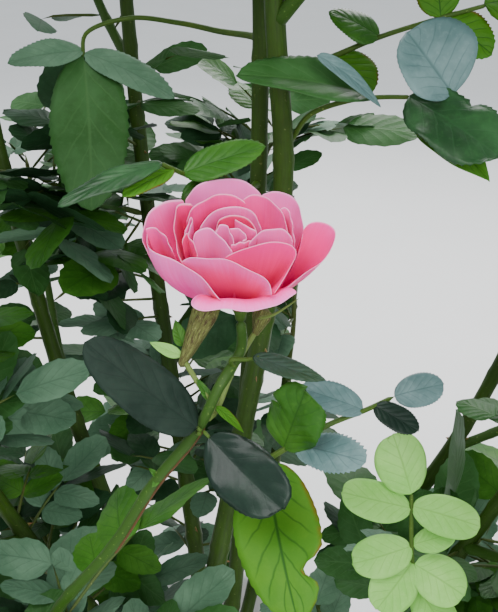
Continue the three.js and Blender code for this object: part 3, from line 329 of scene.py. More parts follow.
# Each shown spray: limb, kind, stem radius, stem places, then its leaves as root, tip and width
SHOWN = {
    "leaves_on_flowering_stem": ("flowering_stem", "deep", 1.9, ((-20, -84, 39), (-19, -84, 32.5)), (
        shown((-19, -83, 33), (-69, -43, 8), 27, kind="matt", ends=(0.44, 0.5), teeth=0.008, fold=0.1,
              arch=0.05, droop=0.05, twist=0.1, bend=0.04, ripple=0.08, stalk=0.04,
              moved=((-18, -83, 33), (-67, -43, 8))),
        shown((-17, -84.5, 32.8), (13, -118, 10), 29, ends=(0.55, 0.42), teeth=0.01, fold=0.34, arch=0.12,
              droop=0.06, twist=-0.2, bend=-0.05, ripple=0.1, pleat=0.05, stalk=0.08, roll=-0.25,
              moved=((-17, -83, 32.8), (16, -115, 10))))),
    "leaves_behind_flowering_stem": ("flowering_stem", "deep", 1.4, (
        (-4, -50, 30), (3, -50, 32), (9, -48.5, 28.5)), (
        shown((6, -48.6, 29.8), (35, -58, 10), 15, kind="steel", ends=(0.5, 0.75), teeth=0.02, fold=0.2,
              pleat=0.2, slim=0.66),)),
    "leaves_right_of_bloom": ("cane_tall_right", "mid", 2, (
        (5, -126, 156), (6, -114, 100), (11, -102, 60), (28, -91, 55), (43, -83, 56), (61, -77, 62),
        (77, -71, 70)), (
        shown((12, -102, 58), (21, -160, 8), 40, HANGING, kind="lime", ends=(0.5, 0.56), teeth=0.012,
              fold=0.1, droop=0.06, ripple=0.09, pleat=1, torn=(0.74, 0.6, 0.06)),
        shown((24, -93.5, 55.5), (30, -64, 22), 29, kind="fresh", ends=(0.44, 0.4), teeth=0.015, fold=0.34,
              arch=0.2, ripple=0.14, torn=(0.6, 0.5, 0.05), pleat=0.8,
              moved=((21, -94, 55.5), (27, -67, 22))),
        shown((26, -93, 55), (56, -94, 26), 20, kind="slate", ends=(0.55, 0.5), teeth=0.06, fold=0.1),
        shown((77, -71, 70), (99, -63, 62), 18, kind="slate", ends=(0.5, 0.5)),
        shown((66, -75, 64), (86, -86, 56), 14, kind="deep", ends=(0.5, 0.5)),
        shown((60, -77, 62), (30, -63, 48), 16, kind="slate", ends=(0.5, 0.6), fold=0.3))),
    "leaves_lower_right": ("cane_right_front", "young", 1.8, (
        (97, -225, 190), (102, -214, 120), (96, -190, 104), (90, -160, 92), (88, -121, 84)), [
        shown(*row, **YOUNG_ROUND) for row in (
            ((88, -123, 84), (79, -92, 78), 28), ((88, -131, 86), (52, -121, 74), 22),
            ((89, -130, 86), (121, -136, 74), 22), ((89, -152, 90), (59, -158, 78), 22),
            ((90, -151, 90), (110, -143, 82), 14), ((90, -161, 92), (70, -180, 76), 24),
            ((91, -162, 92), (115, -173, 80), 26), ((94, -176, 98), (108, -198, 84), 22))]),
    "leaves_upper_right": ("cane_tall_right", "deep", 1.7, (
        (21, 54, 80), (25, 57, 64), (33, 66, 50), (51, 70, 38), (64, 69, 28), (76, 67, 20)), (
        shown((60, 70, 30), (3, 79, 2), 25, kind="mid", ends=(0.55, 0.6), fold=0.45, droop=0.16, teeth=0.02,
              pleat=0.3),
        shown((75, 67, 20), (110, 39, -4), 34, kind="gloss", ends=(0.5, 0.5), fold=0.2, ripple=0.12,
              teeth=0.03, torn=(0.45, 0.2, 0.03), pleat=0.1),
        shown((76, 68, 20), (72, 98, 18), 34, kind="slate", ends=(0.5, 0.5), fold=0.5, teeth=0.01, pleat=0.8,
              slim=1.3, moved=((94, 68, 20), (73, 94, 14))))),
    "leaves_upper_right_back": ("cane_tall_left", "young", 1.7, (
        (12, 90, 82), (30, 94, 68), (44, 97, 62), (67, 105, 56), (96, 113, 52), (118, 118, 48)), (
        shown((46, 98, 62), (63, 78, 50), 24, kind="lime"),
        shown((67, 105, 56), (44, 118, 50), 20, kind="fresh"),
        shown((96, 113, 52), (120, 96, 46), 24, kind="lime"),
        shown((116, 118, 48), (150, 122, 40), 26, kind="lime"),
        shown((96, 113, 52), (92, 136, 44), 22, kind="lime"))),
    "leaves_left_of_bloom": ("cane_tall_left", "fresh", 1.7, (
        (9, 40, 99), (2, 33, 78), (-8, 30, 58), (-19, 33, 40), (-27, 35, 30), (-36, 38, 21)), (
        shown((-35, 38, 21), (-77, 22, 0), 19, kind="gloss", ends=(0.5, 0.62), teeth=0.03, fold=0.3, arch=0.2,
              slim=0.64, ripple=0.12, pleat=0.05),
        shown((-26, 35, 31), (10, 47, 22), 20, ends=(0.5, 0.62), fold=0.1),
        shown((-30, 36, 26), (-50, 24, 10), 14, kind="lime", slim=0.75),
        shown((-20, 33, 38), (-24, 14, 28), 14, slim=0.8))),
    "leaves_far_left": ("cane_tall_left", "deep", 1.9, (
        (7, 112, 78), (-12, 124, 106), (-36, 134, 122), (-64, 138, 126), (-88, 128, 122), (-89, 113, 118)), (
        shown((-89, 116, 119), (-76, 28, 95), 43, HANGING, kind="mid", ends=(0.5, 0.6), fold=0.1),
        shown((-89, 117, 119), (-127, 111, 104), 24, kind="grey", slim=0.9),
        shown((-88, 116, 119), (-36, 94, 100), 25, kind="grey", slim=0.8))),
}

# Shoots as end of name and limb, at the limb's tip, or at a share of it with a heading and a rise.
# The order gives each its seed
SHOOT_PLACES = (
    ("top_right", "cane_tall_right"), ("top_left", "cane_tall_left"), ("right_front_tip", "cane_right_front"),
    ("right_back_tip", "cane_right_back"), ("back_tip", "cane_back"), ("left_back_tip", "cane_left_back"),
    ("left_tip", "cane_left"),
    *((end, "bough_" + end) for end in (
        "tall_right", "tall_left", "right_front", "right_back_low", "back_low", "back_high",
        "left_back_low", "left_low", "left_high")),
    ("back_right_tip", "cane_back_right"),
    ("inner_back", "cane_back", 0.55, 200, 24), ("inner_left", "cane_left", 0.55, 150, 24),
    ("foot_right", "cane_right_front", 0.42, 40, 20), ("foot_left", "cane_left", 0.26, 130, 24),
    ("foot_back", "cane_back", 0.24, 100, 20), ("front_left", "cane_front_old", 0.7, 200, 20),
)
FIRST_SEED = 101
SHOOTS = {"foliage_" + end: (limb, *(where or (1, 0, 0)), FIRST_SEED + i)
          for i, (end, limb, *where) in enumerate(SHOOT_PLACES)}


def shoot_frame(limb, share, heading, rise, seed):
    """Where a shoot starts, the way it takes, the middle of its space and its random draws."""
    way = LIMBS[limb][0]
    at_tip = share == 1
    out = way.along(share) if at_tip else rising(heading, rise)
    foot = way.at(share) + (way.along(share) * GAP if at_tip else 0)
    draw = seeded(seed)
    lean = point(draw() - 0.5, draw() - 0.5, 0.5) * SHOOT["lean"]
    places = bent_places(foot, out, unit(out + lean), SHOOT["length"])
    centre = foot + out * SHOOT["length"] * SHOOT["middle"] + UP * SHOOT["above"]
    return {"limb": limb, "draw": draw, "way": Way(places), "places": places, "centre": centre}


SHOOT_FRAMES = {name: shoot_frame(*row) for name, row in SHOOTS.items()}
CENTRES = np.array([shoot["centre"] for shoot in SHOOT_FRAMES.values()])

# What grown leaves stay clear of
LIMB_STEP = 30
KEPT_OFF = {"bloom": 44, "bud": 5}
NEAREST_STEPS = 200


def shown_stem(limb, places):
    """A shown stem starts inside the limb that carries it, at the place nearest to its first point."""
    places = all_from_bloom(places)
    way = LIMBS[limb][0]
    spots = [way.at(i / NEAREST_STEPS) for i in range(NEAREST_STEPS + 1)]
    return [min(spots, key=lambda p: np.linalg.norm(p - places[0])), *places]


def obstacle_table():
    """Rows of owner, ends and radii."""
    rows = []

    def add(owner, places, radii):
        rows.extend((owner, *row) for row in zip(places, places[1:], radii, radii[1:]))

    for name, (way, radii) in LIMBS.items():
        shares = np.linspace(0, 1, max(2, round(way.length / LIMB_STEP)) + 1)
        add(name, [way.at(s) for s in shares], [between(radii, s) for s in shares])
    seats = [later_bloom_seat(bough, scale)[0] for bough, scale, _ in LATER_BLOOMS.values()]
    for spot in (BLOOM_CENTRE, *seats):
        add("bloom", [spot, spot], [KEPT_OFF["bloom"]] * 2)
    for bud in BUDS.values():
        places = all_from_bloom((*bud["stalk"], bud["tip"]))
        add("bud", places, [KEPT_OFF["bud"]] * len(places))
    for name, shoot in SHOOT_FRAMES.items():
        add(name, shoot["places"], [SHOOT["radius"]] * 3)
    for name, (limb, _, radius, places, leaves) in SHOWN.items():
        stem = shown_stem(limb, places)
        add(name, stem, [radius] * len(stem))
        for root, tip, width, *_ in leaves:
            add(name, all_from_bloom((root, tip)), [width / 2] * 2)
    return rows


OBSTACLES = obstacle_table()
OWNERS, STARTS = (np.array([row[i] for row in OBSTACLES]) for i in (0, 1))
REACHES = np.array([row[2] - row[1] for row in OBSTACLES])
RADII = np.array([row[3:] for row in OBSTACLES])
REACH2 = np.maximum((REACHES ** 2).sum(1), 1e-9)


def clear_of_limbs(p, owners):
    """Whether all the places in p keep clear of every obstacle that isn't their owners' own."""
    other = ~np.isin(OWNERS, owners)
    step = p[:, None, :] - STARTS[None, other]
    t = np.clip((step * REACHES[None, other]).sum(2) / REACH2[None, other], 0, 1)
    away = np.linalg.norm(step - REACHES[None, other] * t[..., None], axis=2)
    radius = RADII[None, other, 0] * (1 - t) + RADII[None, other, 1] * t
    return bool((away - radius > LIMB_MARGIN).all())


def in_own_space(p, name):
    own = SHOOT_FRAMES[name]["centre"]
    gaps = np.linalg.norm(CENTRES - own, axis=1)
    other = gaps > 0
    near = ((p[:, None, :] - CENTRES[None, other]) ** 2).sum(2) - ((p - own) ** 2).sum(1)[:, None]
    return bool((near / (2 * gaps[None, other]) > CELL_MARGIN).all())


def within_reach(p):
    """Whether all the places in p lie inside the box of the solids."""
    low, high = np.array(CAD_BOX) / MM
    return bool(((p > low) & (p < high)).all())


def leaves_view_open(p):
    seen = p - EYE
    depth = seen @ EYE_AHEAD
    ahead = depth >= VIEW["near"]
    x, y = (seen @ side / np.where(ahead, depth, 1) for side in (EYE_RIGHT, EYE_UP))
    near = (abs(x) < VIEW_HALF["across"]) & (abs(y) < VIEW_HALF["tall"])
    near &= depth < VIEW["distance"] + VIEW_HALF["behind"]
    gap = (x > VIEW_GAP["left"]) & (x < VIEW_GAP["right"]) & (y > VIEW_GAP["low"]) & (y < VIEW_GAP["high"])
    return not bool((ahead & (near | gap)).any())


def above_pot(p):
    r = np.hypot(p[:, 0], p[:, 1])
    over_medium = (r < POT["rim"] - POT_MARGIN["inside"]) & (p[:, 2] > MEDIUM["level"] + POT_MARGIN["medium"])
    return bool(((p[:, 2] > POT["height"] + POT_MARGIN["rim"]) | over_medium).all())


def fits(p, name, owners):
    return above_pot(p) and leaves_view_open(p) and in_own_space(p, name) and clear_of_limbs(p, owners)


def leaf_at(base, tip, width, facing):
    along = unit(tip - base)
    normal = unit(facing - along * (facing @ along))
    length = np.linalg.norm(tip - base)
    return {"base": base, "along": along, "normal": normal, "length": length, "width": width}


# Where a leaf is tested against its space and against the limbs: share of its length and of its
# half width there, how far it sags and how far its edges rise
LEAF_TESTS = ((0.12, 0.25), (0.28, 0.8), (0.46, 1), (0.64, 0.75), (0.82, 0.4), (1, 0))
TEST_SAG = 0.1
TEST_RISE = 0.1


def leaf_places(leaf):
    beside = np.cross(leaf["normal"], leaf["along"])
    places = []
    for t, half in LEAF_TESTS:
        middle = leaf["base"] + leaf["along"] * t * leaf["length"]
        middle = middle - leaf["normal"] * TEST_SAG * leaf["length"] * t * t
        places.append(middle)
        for side in (-1, -0.5, 0.5, 1) if half else ():
            places.append(middle + beside * side * half * leaf["width"] / 2
                          + leaf["normal"] * abs(side) * half * TEST_RISE * leaf["width"])
    return np.array(places)


def drawn_size(kind, draw):
    least, more = LEAF_SIZES[kind]
    return least + more * draw()


def pinnate_leaf(base, out, draw, size, pairs):
    """A stalk bent once, with side leaflets in pairs and one at its tip."""
    sag = -UP
    along = unit(out)
    bend = LEAF["bend"]
    reach = (LEAF["petiole"] + LEAF["rachis"]) * size
    stalk = [base + along * reach * t + sag * reach * LEAF["droop"] * t * t for t in (0, bend, 1)]

    def on(t):
        if t < bend:
            return stalk[0] + (stalk[1] - stalk[0]) * t / bend
        return stalk[1] + (stalk[2] - stalk[1]) * (t - bend) / (1 - bend)

    def ahead(t):
        return unit(along + sag * 2 * LEAF["droop"] * t)

    def leaflet(at, way, length):
        return leaf_at(on(at), on(at) + way * length, length * LEAF["slim"], facing)

    facing = unit(UP - along * LEAFLET["back"] + point(draw() - 0.5, draw() - 0.5, 0) * LEAFLET["stray"])
    leaves = []
    for at, scale, side in pairs:
        forward = ahead(at)
        beside = unit(np.cross(facing, forward))
        way = unit(forward * LEAFLET["ahead"] + beside * side + UP * LEAFLET["rise"] * (draw() - 0.5))
        leaves.append(leaflet(at, way, LEAF["side"] * size * scale * drawn_size("leaflet", draw)))
    leaves.append(leaflet(LEAFLET["last"], ahead(1), LEAF["terminal"] * size * drawn_size("leaflet", draw)))
    return stalk, leaves


def turned(v, axis, angle):
    """A direction turned about an axis."""
    c, s = math.cos(angle), math.sin(angle)
    return v * c + np.cross(axis, v) * s + axis * (axis @ v) * (1 - c)


def across_of(along, side=SIDEWAYS):
    return unit(side - along * (side @ along))


def grow_shoot(name):
    """The source's leaves of one shoot."""
    shoot = SHOOT_FRAMES[name]
    way, draw = shoot["way"], shoot["draw"]
    grown = []
    for i in range(SHOOT["leaves"]):
        t = SHOOT["first"] + (1 - SHOOT["first"]) * i / (SHOOT["leaves"] - 1)
        along = way.along(t)
        size = drawn_size("shoot", draw)
        jitter = draw() - 0.5
        last = i == SHOOT["leaves"] - 1
        for attempt in range(SHOOT["tries"]):
            radial = turned(across_of(along), along, i * LEAF_TURN + jitter + attempt * TRY_TURN)
            out = unit(radial + along * SHOOT["last_ahead" if last else "ahead"] + UP * SHOOT["rise"])
            luck = seeded(i * 31 + attempt * 7 + int(size * 1e4))
            leaf = kept_leaf(name, way.at(t), out, luck, size, LEAF_PAIRS[2:] if i == 0 else LEAF_PAIRS, 3)
            if leaf:
                grown.append(leaf)
                break
    return grown


def kept_leaf(name, base, out, luck, size, pairs, least):
    """A leaf with the leaflets that fit, or nothing when too few do."""
    stalk, leaves = pinnate_leaf(base, out, luck, size, pairs)
    if not fits(np.array(stalk[1:]), name, [name, SHOOT_FRAMES[name]["limb"]]):
        return None
    kept = [leaf for leaf in leaves if fits(leaf_places(leaf), name, [name])]
    return (trimmed(stalk, kept), kept) if len(kept) >= least else None


def trimmed(stalk, leaves):
    """A stalk that ends at the furthest of its leaflets."""
    along = unit(stalk[2] - stalk[1])
    reach = max(float((leaf["base"] - stalk[1]) @ along) for leaf in leaves)
    return [stalk[0], stalk[1], stalk[1] + along * max(reach, 1.0)]


def grow_finer(name, count):
    """More leaves within the same reach, on the shoot and on the part of its limb that is near it."""
    shoot = SHOOT_FRAMES[name]
    limb, share, _, _, seed = SHOOTS[name]
    way = LIMBS[limb][0]
    draw = seeded(seed * FINER["seed"])
    half = FINER["reach"] / way.length
    first, last = (1 - 2 * half, 1) if share == 1 else (share - half, share + half)
    places = [(shoot["way"], (i + 0.5) / count) for i in range(count)]
    places += [(way, first + (last - first) * (i + 0.5) / count) for i in range(count)]
    grown = []
    for way, t in places:
        along = way.along(t)
        size = drawn_size("finer", draw)
        start = draw() * FINER["start"]
        for attempt in range(FINER["tries"]):
            radial = turned(across_of(along), along, start + attempt * FINER["turn"])
            out = unit(radial + along * FINER["ahead"] + UP * (FINER["rise"][0] + FINER["rise"][1] * draw()))
            leaf = kept_leaf(name, way.at(t), out, draw, size, LEAF_PAIRS, 2)
            if leaf and all(within_reach(leaf_places(leaflet)) for leaflet in leaf[1]):
                grown.append(leaf)
                break
    return grown


# Colours as linear light
def tone(red, green, blue):
    """A colour given in the eight-bit scale of a screen."""
    return tuple(c / 12.92 if c <= 0.04045 else ((c + 0.055) / 1.055) ** 2.4
                 for c in (red / 255, green / 255, blue / 255))


def colour(label, note, *screen):
    return FloatVectorProperty(name=label, description=note, subtype="COLOR", size=3, min=0, max=1,
                               default=tone(*screen))


def length(label, note, value):
    return FloatProperty(name=label, description=note, default=value, min=0, unit="LENGTH", precision=4)


def count(label, note, value):
    return IntProperty(name=label, description=note, default=value, min=0, soft_max=value * 2)


class ROSE_PG_sizes(PropertyGroup):
    """Sizes of the finer pieces, in metres, and how many there are."""

    petal: length("Petal thickness", "How thick a petal is", 0.00036)
    blade: length("Leaf thickness", "How thick a shown leaf is", 0.0004)
    prickle: length("Prickle length", "How far a prickle stands out of its cane", 0.0042)
    chunk: length("Chunk size", "Usual size of a chunk of growing medium", 0.007)
    finer: count("Finer leaves", "Extra leaves tried on each shoot", 14)
    chunks: count("Chunks", "Chunks of growing medium on show", 1500)


class ROSE_PG_colours(PropertyGroup):
    """Colours of the plant and the pot."""

    petal_pale: colour("Pale petal", "Outer petals, near their rims", 255, 130, 212)
    petal: colour("Petal", "Middle of a petal", 255, 36, 152)
    # Deep petal: the rose's own deeper pink, with painted shade low in the cup and in the heart.
    petal_deep_and_shade: colour("Deep petal", "Petals low in the cup and in the heart", 230, 10, 104)
    # Petal rim: a painted highlight along the rolled rim.
    petal_rim_highlight: colour("Petal rim", "Thin edge of a petal", 255, 200, 226)
    leaf_deep: colour("Old leaf", "Dark blue-green leaf", 18, 34, 26)
    leaf_dusk: colour("Dark leaf", "Dark green leaf of the crown", 32, 62, 34)
    # Slate leaf: the leaf's own blue-grey with a painted sky sheen in it.
    leaf_slate: colour("Slate leaf", "Blue-grey leaf", 82, 112, 110)
    leaf_grey: colour("Grey leaf", "Grey-green leaf", 78, 112, 86)
    leaf_mid: colour("Leaf", "Mid-green leaf", 44, 84, 36)
    leaf_fresh: colour("Fresh leaf", "Bright green leaf", 48, 98, 26)
    leaf_lime: colour("Lime leaf", "Yellow-green leaf with dark veins", 66, 120, 26)
    leaf_young: colour("Young leaf", "Pale leaf at the end of a shoot", 138, 204, 96)
    cane: colour("Cane", "Rind of an older cane", 46, 74, 10)
    stem: colour("Stem", "Rind of a young stem", 45, 76, 20)
    wood: colour("Old wood", "Bark of the bud union and old cane", 116, 92, 66)
    pot: colour("Pot", "Moulded pot", 232, 233, 230)
    medium: colour("Growing medium", "Chunks in the pot", 112, 58, 44)


def sizes():
    return bpy.context.scene.rose_sizes


def own_colour(name):
    return tuple(getattr(bpy.context.scene.rose_colours, name))


# Shader building
class Shader:
    """Short calls for the nodes of one material or group."""

    def __init__(self, tree):
        self.tree = tree

    def node(self, kind, **inputs):
        node = self.tree.nodes.new(kind)
        for key, value in inputs.items():
            self.fill(node.inputs[int(key[1:])] if key[1:].isdigit() else node.inputs[key], value)
        return node

    def fill(self, socket, value):
        """Links a socket to another, or sets its value. A colour may come without its fourth number."""
        if isinstance(value, bpy.types.NodeSocket):
            self.link(value, socket)
        elif socket.type == "RGBA" and len(value) == 3:
            socket.default_value = (*value, 1)
        else:
            socket.default_value = value

    def link(self, out, into):
        self.tree.links.new(out, into)

    def math(self, operation, a, b=0.0, clamp=False):
        node = self.node("ShaderNodeMath", i0=a, i1=b)
        node.operation = operation
        node.use_clamp = clamp
        return node.outputs[0]

    def mul(self, a, b):
        return self.math("MULTIPLY", a, b)

    def add(self, a, b):
        return self.math("ADD", a, b)

    def sub(self, a, b):
        return self.math("SUBTRACT", a, b)

    def step(self, value, low, high, to_low=0.0, to_high=1.0):
        node = self.node("ShaderNodeMapRange", i0=value, i1=low, i2=high, i3=to_low, i4=to_high)
        node.interpolation_type = "SMOOTHSTEP"
        return node.outputs[0]

    def mix(self, factor, a, b):
        node = self.tree.nodes.new("ShaderNodeMix")
        node.data_type = "RGBA"
        for i, value in ((0, factor), (6, a), (7, b)):
            self.fill(node.inputs[i], value)
        return node.outputs[2]

    def noise(self, scale, detail=3.0, roughness=0.6, vector=None):
        node = self.node("ShaderNodeTexNoise", Scale=scale, Detail=detail, Roughness=roughness)
        self.link(vector or self.place(), node.inputs["Vector"])
        return node.outputs[0]

    def place(self):
        return self.tree.nodes.new("ShaderNodeTexCoord").outputs["Object"]

    def axes(self, vector=None):
        """The numbers of a vector, or of the piece's own map."""
        vector = vector or self.tree.nodes.new("ShaderNodeTexCoord").outputs["UV"]
        return self.node("ShaderNodeSeparateXYZ", i0=vector).outputs

    def stretched(self, across, along):
        """The piece's own map with both its directions stretched, for streaks."""
        u, v = self.axes()[:2]
        return self.node("ShaderNodeCombineXYZ", i0=self.mul(u, across), i1=self.mul(v, along)).outputs[0]

    def scaled(self, vector, scale):
        return self.node("ShaderNodeMapping", Vector=vector, Scale=scale).outputs[0]


class Surface(Shader):
    """A new material and the calls that finish its Principled shader."""

    def __init__(self, name):
        self.material = bpy.data.materials.new(name)
        self.material.use_nodes = True
        super().__init__(self.material.node_tree)
        self.bsdf = self.tree.nodes["Principled BSDF"]

    def set(self, base, roughness, **others):
        """Base colour, roughness and any other socket, with its name's words joined by underscores."""
        for socket, value in (("Base Color", base), ("Roughness", roughness), *others.items()):
            self.fill(self.bsdf.inputs[socket.replace("_", " ")], value)

    def bump(self, height, strength, distance):
        node = self.node("ShaderNodeBump", Strength=strength, Distance=distance, Height=height)
        self.link(node.outputs[0], self.bsdf.inputs["Normal"])

    def thin(self, base, share):
        """Lets some light through a thin petal or leaf."""
        light = self.node("ShaderNodeBsdfTranslucent", Color=base)
        both = self.node("ShaderNodeMixShader", i0=share, i1=self.bsdf.outputs[0], i2=light.outputs[0])
        self.link(both.outputs[0], self.tree.nodes["Material Output"].inputs[0])


def once(name, build, *given):
    """A material that several pieces share, built for the first of them."""
    return bpy.data.materials.get(name) or build(name, *given)


def vein_group():
    """Midrib and side veins of a leaf from its own map: 0 on the blade and 1 on a vein, and the swell."""
    name = "Leaf veins"
    if name in bpy.data.node_groups:
        return bpy.data.node_groups[name]
    tree = bpy.data.node_groups.new(name, "ShaderNodeTree")
    for label, default in VEIN_INPUTS.items():
        socket = tree.interface.new_socket(name=label, in_out="INPUT", socket_type="NodeSocketFloat")
        socket.default_value = default
    for label in ("Vein", "Swell"):
        tree.interface.new_socket(name=label, in_out="OUTPUT", socket_type="NodeSocketFloat")
    s = Shader(tree)
    given, out = (tree.nodes.new(kind) for kind in ("NodeGroupInput", "NodeGroupOutput"))
    u, v = s.axes()[:2]
    aside = s.math("ABSOLUTE", s.sub(s.mul(u, 2.0), 1.0))
    stray = s.mul(s.sub(s.noise(90.0, 2.0), 0.5), 0.07)
    slope = s.mul(s.math("POWER", aside, 0.8), given.outputs["Slope"])
    run = s.sub(s.add(v, stray), slope)
    wave = s.math("ABSOLUTE", s.sub(s.math("FRACT", s.mul(run, given.outputs["Veins"])), 0.5))
    side = s.mul(s.step(wave, 0.0, 0.1, 1.0, 0.0), s.step(aside, 0.55, 0.95, 0.75, 0.0))
    rib = s.step(aside, 0.01, 0.06, 1.0, 0.0)
    s.link(s.math("MAXIMUM", side, rib), out.inputs["Vein"])
    s.link(s.mul(s.step(wave, 0.0, 0.5), s.step(aside, 0.0, 0.3)), out.inputs["Swell"])
    return tree


VEIN_INPUTS = {"Veins": 6.0, "Slope": 0.34}
LEAF_BROWN = tone(120, 62, 22)
LEAF_BUMP = (0.4, 0.0006)


def leaf_material(name, kind):
    """Leaf with sunken veins and a fine net between them, cloudy patches and a rim that browns in places."""
    _, blade, pale, vein, (gloss, shine, through_share, net, brown) = LEAF_KINDS[kind]
    s = Surface(name)
    veins = s.tree.nodes.new("ShaderNodeGroup")
    veins.node_tree = vein_group()
    mask, swell = veins.outputs["Vein"], veins.outputs["Swell"]
    patch = s.noise(42.0, 4.0)
    fine = s.noise(420.0, 3.0, 0.55)
    # Paler patches: the leaf's own mottling, and in the steel and slate kinds also a painted sky reflection.
    base = s.mix(s.step(patch, 0.35, 0.75, 0.0, 0.7), own_colour(blade), tone(*pale))
    base = s.mix(s.step(fine, 0.5, 0.7, 0.0, 0.22), base, tone(*pale))
    base = s.mix(s.mul(mask, net), base, tone(*vein))
    rim = s.step(s.axes()[0], 0.0, 0.07, 1.0, 0.0)
    base = s.mix(s.mul(s.mul(rim, s.step(patch, 0.4, 0.6)), brown), base, LEAF_BROWN)
    s.set(base, s.add(s.mul(patch, 0.25), gloss - 0.12), Specular_IOR_Level=shine)
    height = s.add(s.add(s.mul(swell, 0.5), s.mul(fine, 0.5)), s.mul(patch, 1.5))
    s.bump(s.sub(height, s.mul(mask, 0.7 * net)), *LEAF_BUMP)
    s.thin(base, through_share)
    return s.material


PETAL_SHINE = {"Sheen_Weight": 0.05, "Sheen_Roughness": 0.4, "Specular_IOR_Level": 0.22,
               "Subsurface_Weight": 0.12, "Subsurface_Radius": (0.004, 0.0015, 0.0018)}
PETAL_BUMP = (0.2, 0.0003)
PETAL_THROUGH = 0.16


def petal_material(name, fall, start):
    """Petal pink with a painted highlight as a pale line at the rim, deeper down the petal and towards the
    heart of the bloom, partly the rose's own colour and partly painted shade in the hollows of the cup.
    """
    s = Surface(name)
    v = s.axes()[1]
    streak = s.noise(1.0, 2.0, 0.5, s.stretched(46.0, 2.2))
    cloud = s.noise(70.0, 3.0)
    own = s.tree.nodes.new("ShaderNodeAttribute")
    own.attribute_name = "depth"
    # Painted shade: the pink deepens down the petal and with each petal's depth, partly the rose's own colour
    # and partly shade in the hollows of the cup.
    down = s.mul(s.math("POWER", s.math("SUBTRACT", 1.0, v, True), 1.2), fall)
    depth = s.add(s.add(own.outputs["Fac"], start), down)
    depth = s.add(depth, s.mul(s.sub(streak, 0.5), 0.22))
    depth = s.add(depth, s.mul(s.sub(cloud, 0.5), 0.16))
    base = s.mix(s.step(depth, 0.0, 0.5), own_colour("petal_pale"), own_colour("petal"))
    base = s.mix(s.step(depth, 0.45, 1.0), base, own_colour("petal_deep_and_shade"))
    # Painted highlight: a pale line along the rim.
    base = s.mix(s.step(v, 0.98, 1.0, 0.0, 0.6), base, own_colour("petal_rim_highlight"))
    s.set(base, s.add(s.mul(cloud, 0.15), 0.4), **PETAL_SHINE)
    s.bump(s.add(streak, s.mul(cloud, 0.5)), *PETAL_BUMP)
    s.thin(base, PETAL_THROUGH)
    return s.material


# Kinds of rind and bark: colour, dark streaks, pale pores, how fine the pattern is and its relief
RINDS = {
    "cane_rind": ("cane", (34, 50, 16), (104, 112, 62), 1.0, 0.0005),
    "old_bark": ("wood", (64, 48, 34), (158, 138, 110), 1.6, 0.0022),
    "stem_rind": ("stem", (46, 76, 18), (120, 148, 70), 1.3, 0.0004),
    "stem_ridge": ((92, 62, 36), (62, 44, 26), (120, 110, 62), 2.0, 0.0006),
    "calyx_cup": ("stem", (70, 92, 30), (120, 148, 70), 2.0, 0.0004),
    "calyx_green": ((104, 130, 62), (92, 96, 48), (160, 176, 112), 2.0, 0.0005),
    "leaf_stalk": ("stem", (84, 104, 34), (140, 156, 84), 1.5, 0.0003),
    "twig_rind": ("stem", (96, 90, 50), (140, 150, 90), 1.5, 0.0003),
}
BARK_BUMP = 0.6
BARK_SHINE = 0.22


def rind_material(name):
    """Rind or bark: streaks along the limb, pale pores and darker patches."""
    base, dark, pale, scale, relief = RINDS[name]
    base = own_colour(base) if isinstance(base, str) else tone(*base)
    s = Surface(name)
    streak = s.noise(1.0, 4.0, 0.6, s.stretched(26.0, 3.0))
    patch = s.noise(28.0 * scale, 4.0)
    pores = s.noise(420.0 * scale, 2.0)
    base = s.mix(s.step(streak, 0.3, 0.75, 0.0, 0.6), base, tone(*dark))
    base = s.mix(s.step(patch, 0.45, 0.75, 0.0, 0.5), base, tone(*dark))
    base = s.mix(s.step(pores, 0.66, 0.74, 0.0, 0.5), base, tone(*pale))
    s.set(base, s.step(patch, 0.2, 0.8, 0.42, 0.7), Specular_IOR_Level=BARK_SHINE)
    s.bump(s.add(streak, s.mul(pores, 0.5)), BARK_BUMP, relief)
    return s.material


def rind(name):
    return [once(name, rind_material)]


def bud_material(name):
    """Green bud streaked lengthwise with brown, with short pale hairs."""
    s = Surface(name)
    run = s.stretched(34.0, 7.0)
    streak = s.noise(1.0, 4.0, 0.65, run)
    hair = s.noise(1.0, 3.0, 0.7, s.scaled(run, (3.0, 2.2, 1.0)))
    base = s.mix(s.step(streak, 0.36, 0.6), tone(72, 60, 38), tone(110, 118, 62))
    base = s.mix(s.step(hair, 0.56, 0.7, 0.0, 0.75), base, tone(176, 178, 122))
    s.set(base, 0.7, Specular_IOR_Level=0.2)
    s.bump(s.add(streak, hair), 0.8, 0.0009)
    return s.material


def plastic_material(name):
    """White moulded plastic with faint scuffs and a little brownish darkening low down."""
    s = Surface(name)
    # Darker and browner towards the bottom, in noisy patches.
    low = s.step(s.axes(s.place())[2], 0.0, 0.07, 1.0, 0.0)
    low_darkening = s.mul(low, s.noise(38.0, 6.0, 0.75))
    scuff = s.noise(1.0, 6.0, 0.8, s.scaled(s.place(), (60.0, 60.0, 9.0)))
    base = s.mix(s.mul(low_darkening, 0.8), own_colour("pot"), tone(168, 150, 128))
    base = s.mix(s.step(scuff, 0.62, 0.78, 0.0, 0.3), base, tone(200, 198, 190))
    s.set(base, s.step(scuff, 0.3, 0.8, 0.32, 0.55))
    s.bump(s.add(scuff, s.mul(s.noise(900.0, 2.0), 0.4)), 0.12, 0.0004)
    return s.material


def chunk_material(name, value, dark):
    s = Surface(name)
    coarse = s.noise(160.0, 5.0, 0.7)
    fine = s.noise(1400.0, 3.0)
    base = s.mix(s.step(coarse, 0.35, 0.7), tone(*dark), value)
    base = s.mix(s.step(fine, 0.6, 0.75, 0.0, 0.5), base, tone(176, 120, 92))
    s.set(base, s.step(coarse, 0.2, 0.8, 0.75, 0.95))
    s.bump(s.add(coarse, s.mul(fine, 0.5)), 0.8, 0.0012)
    return s.material


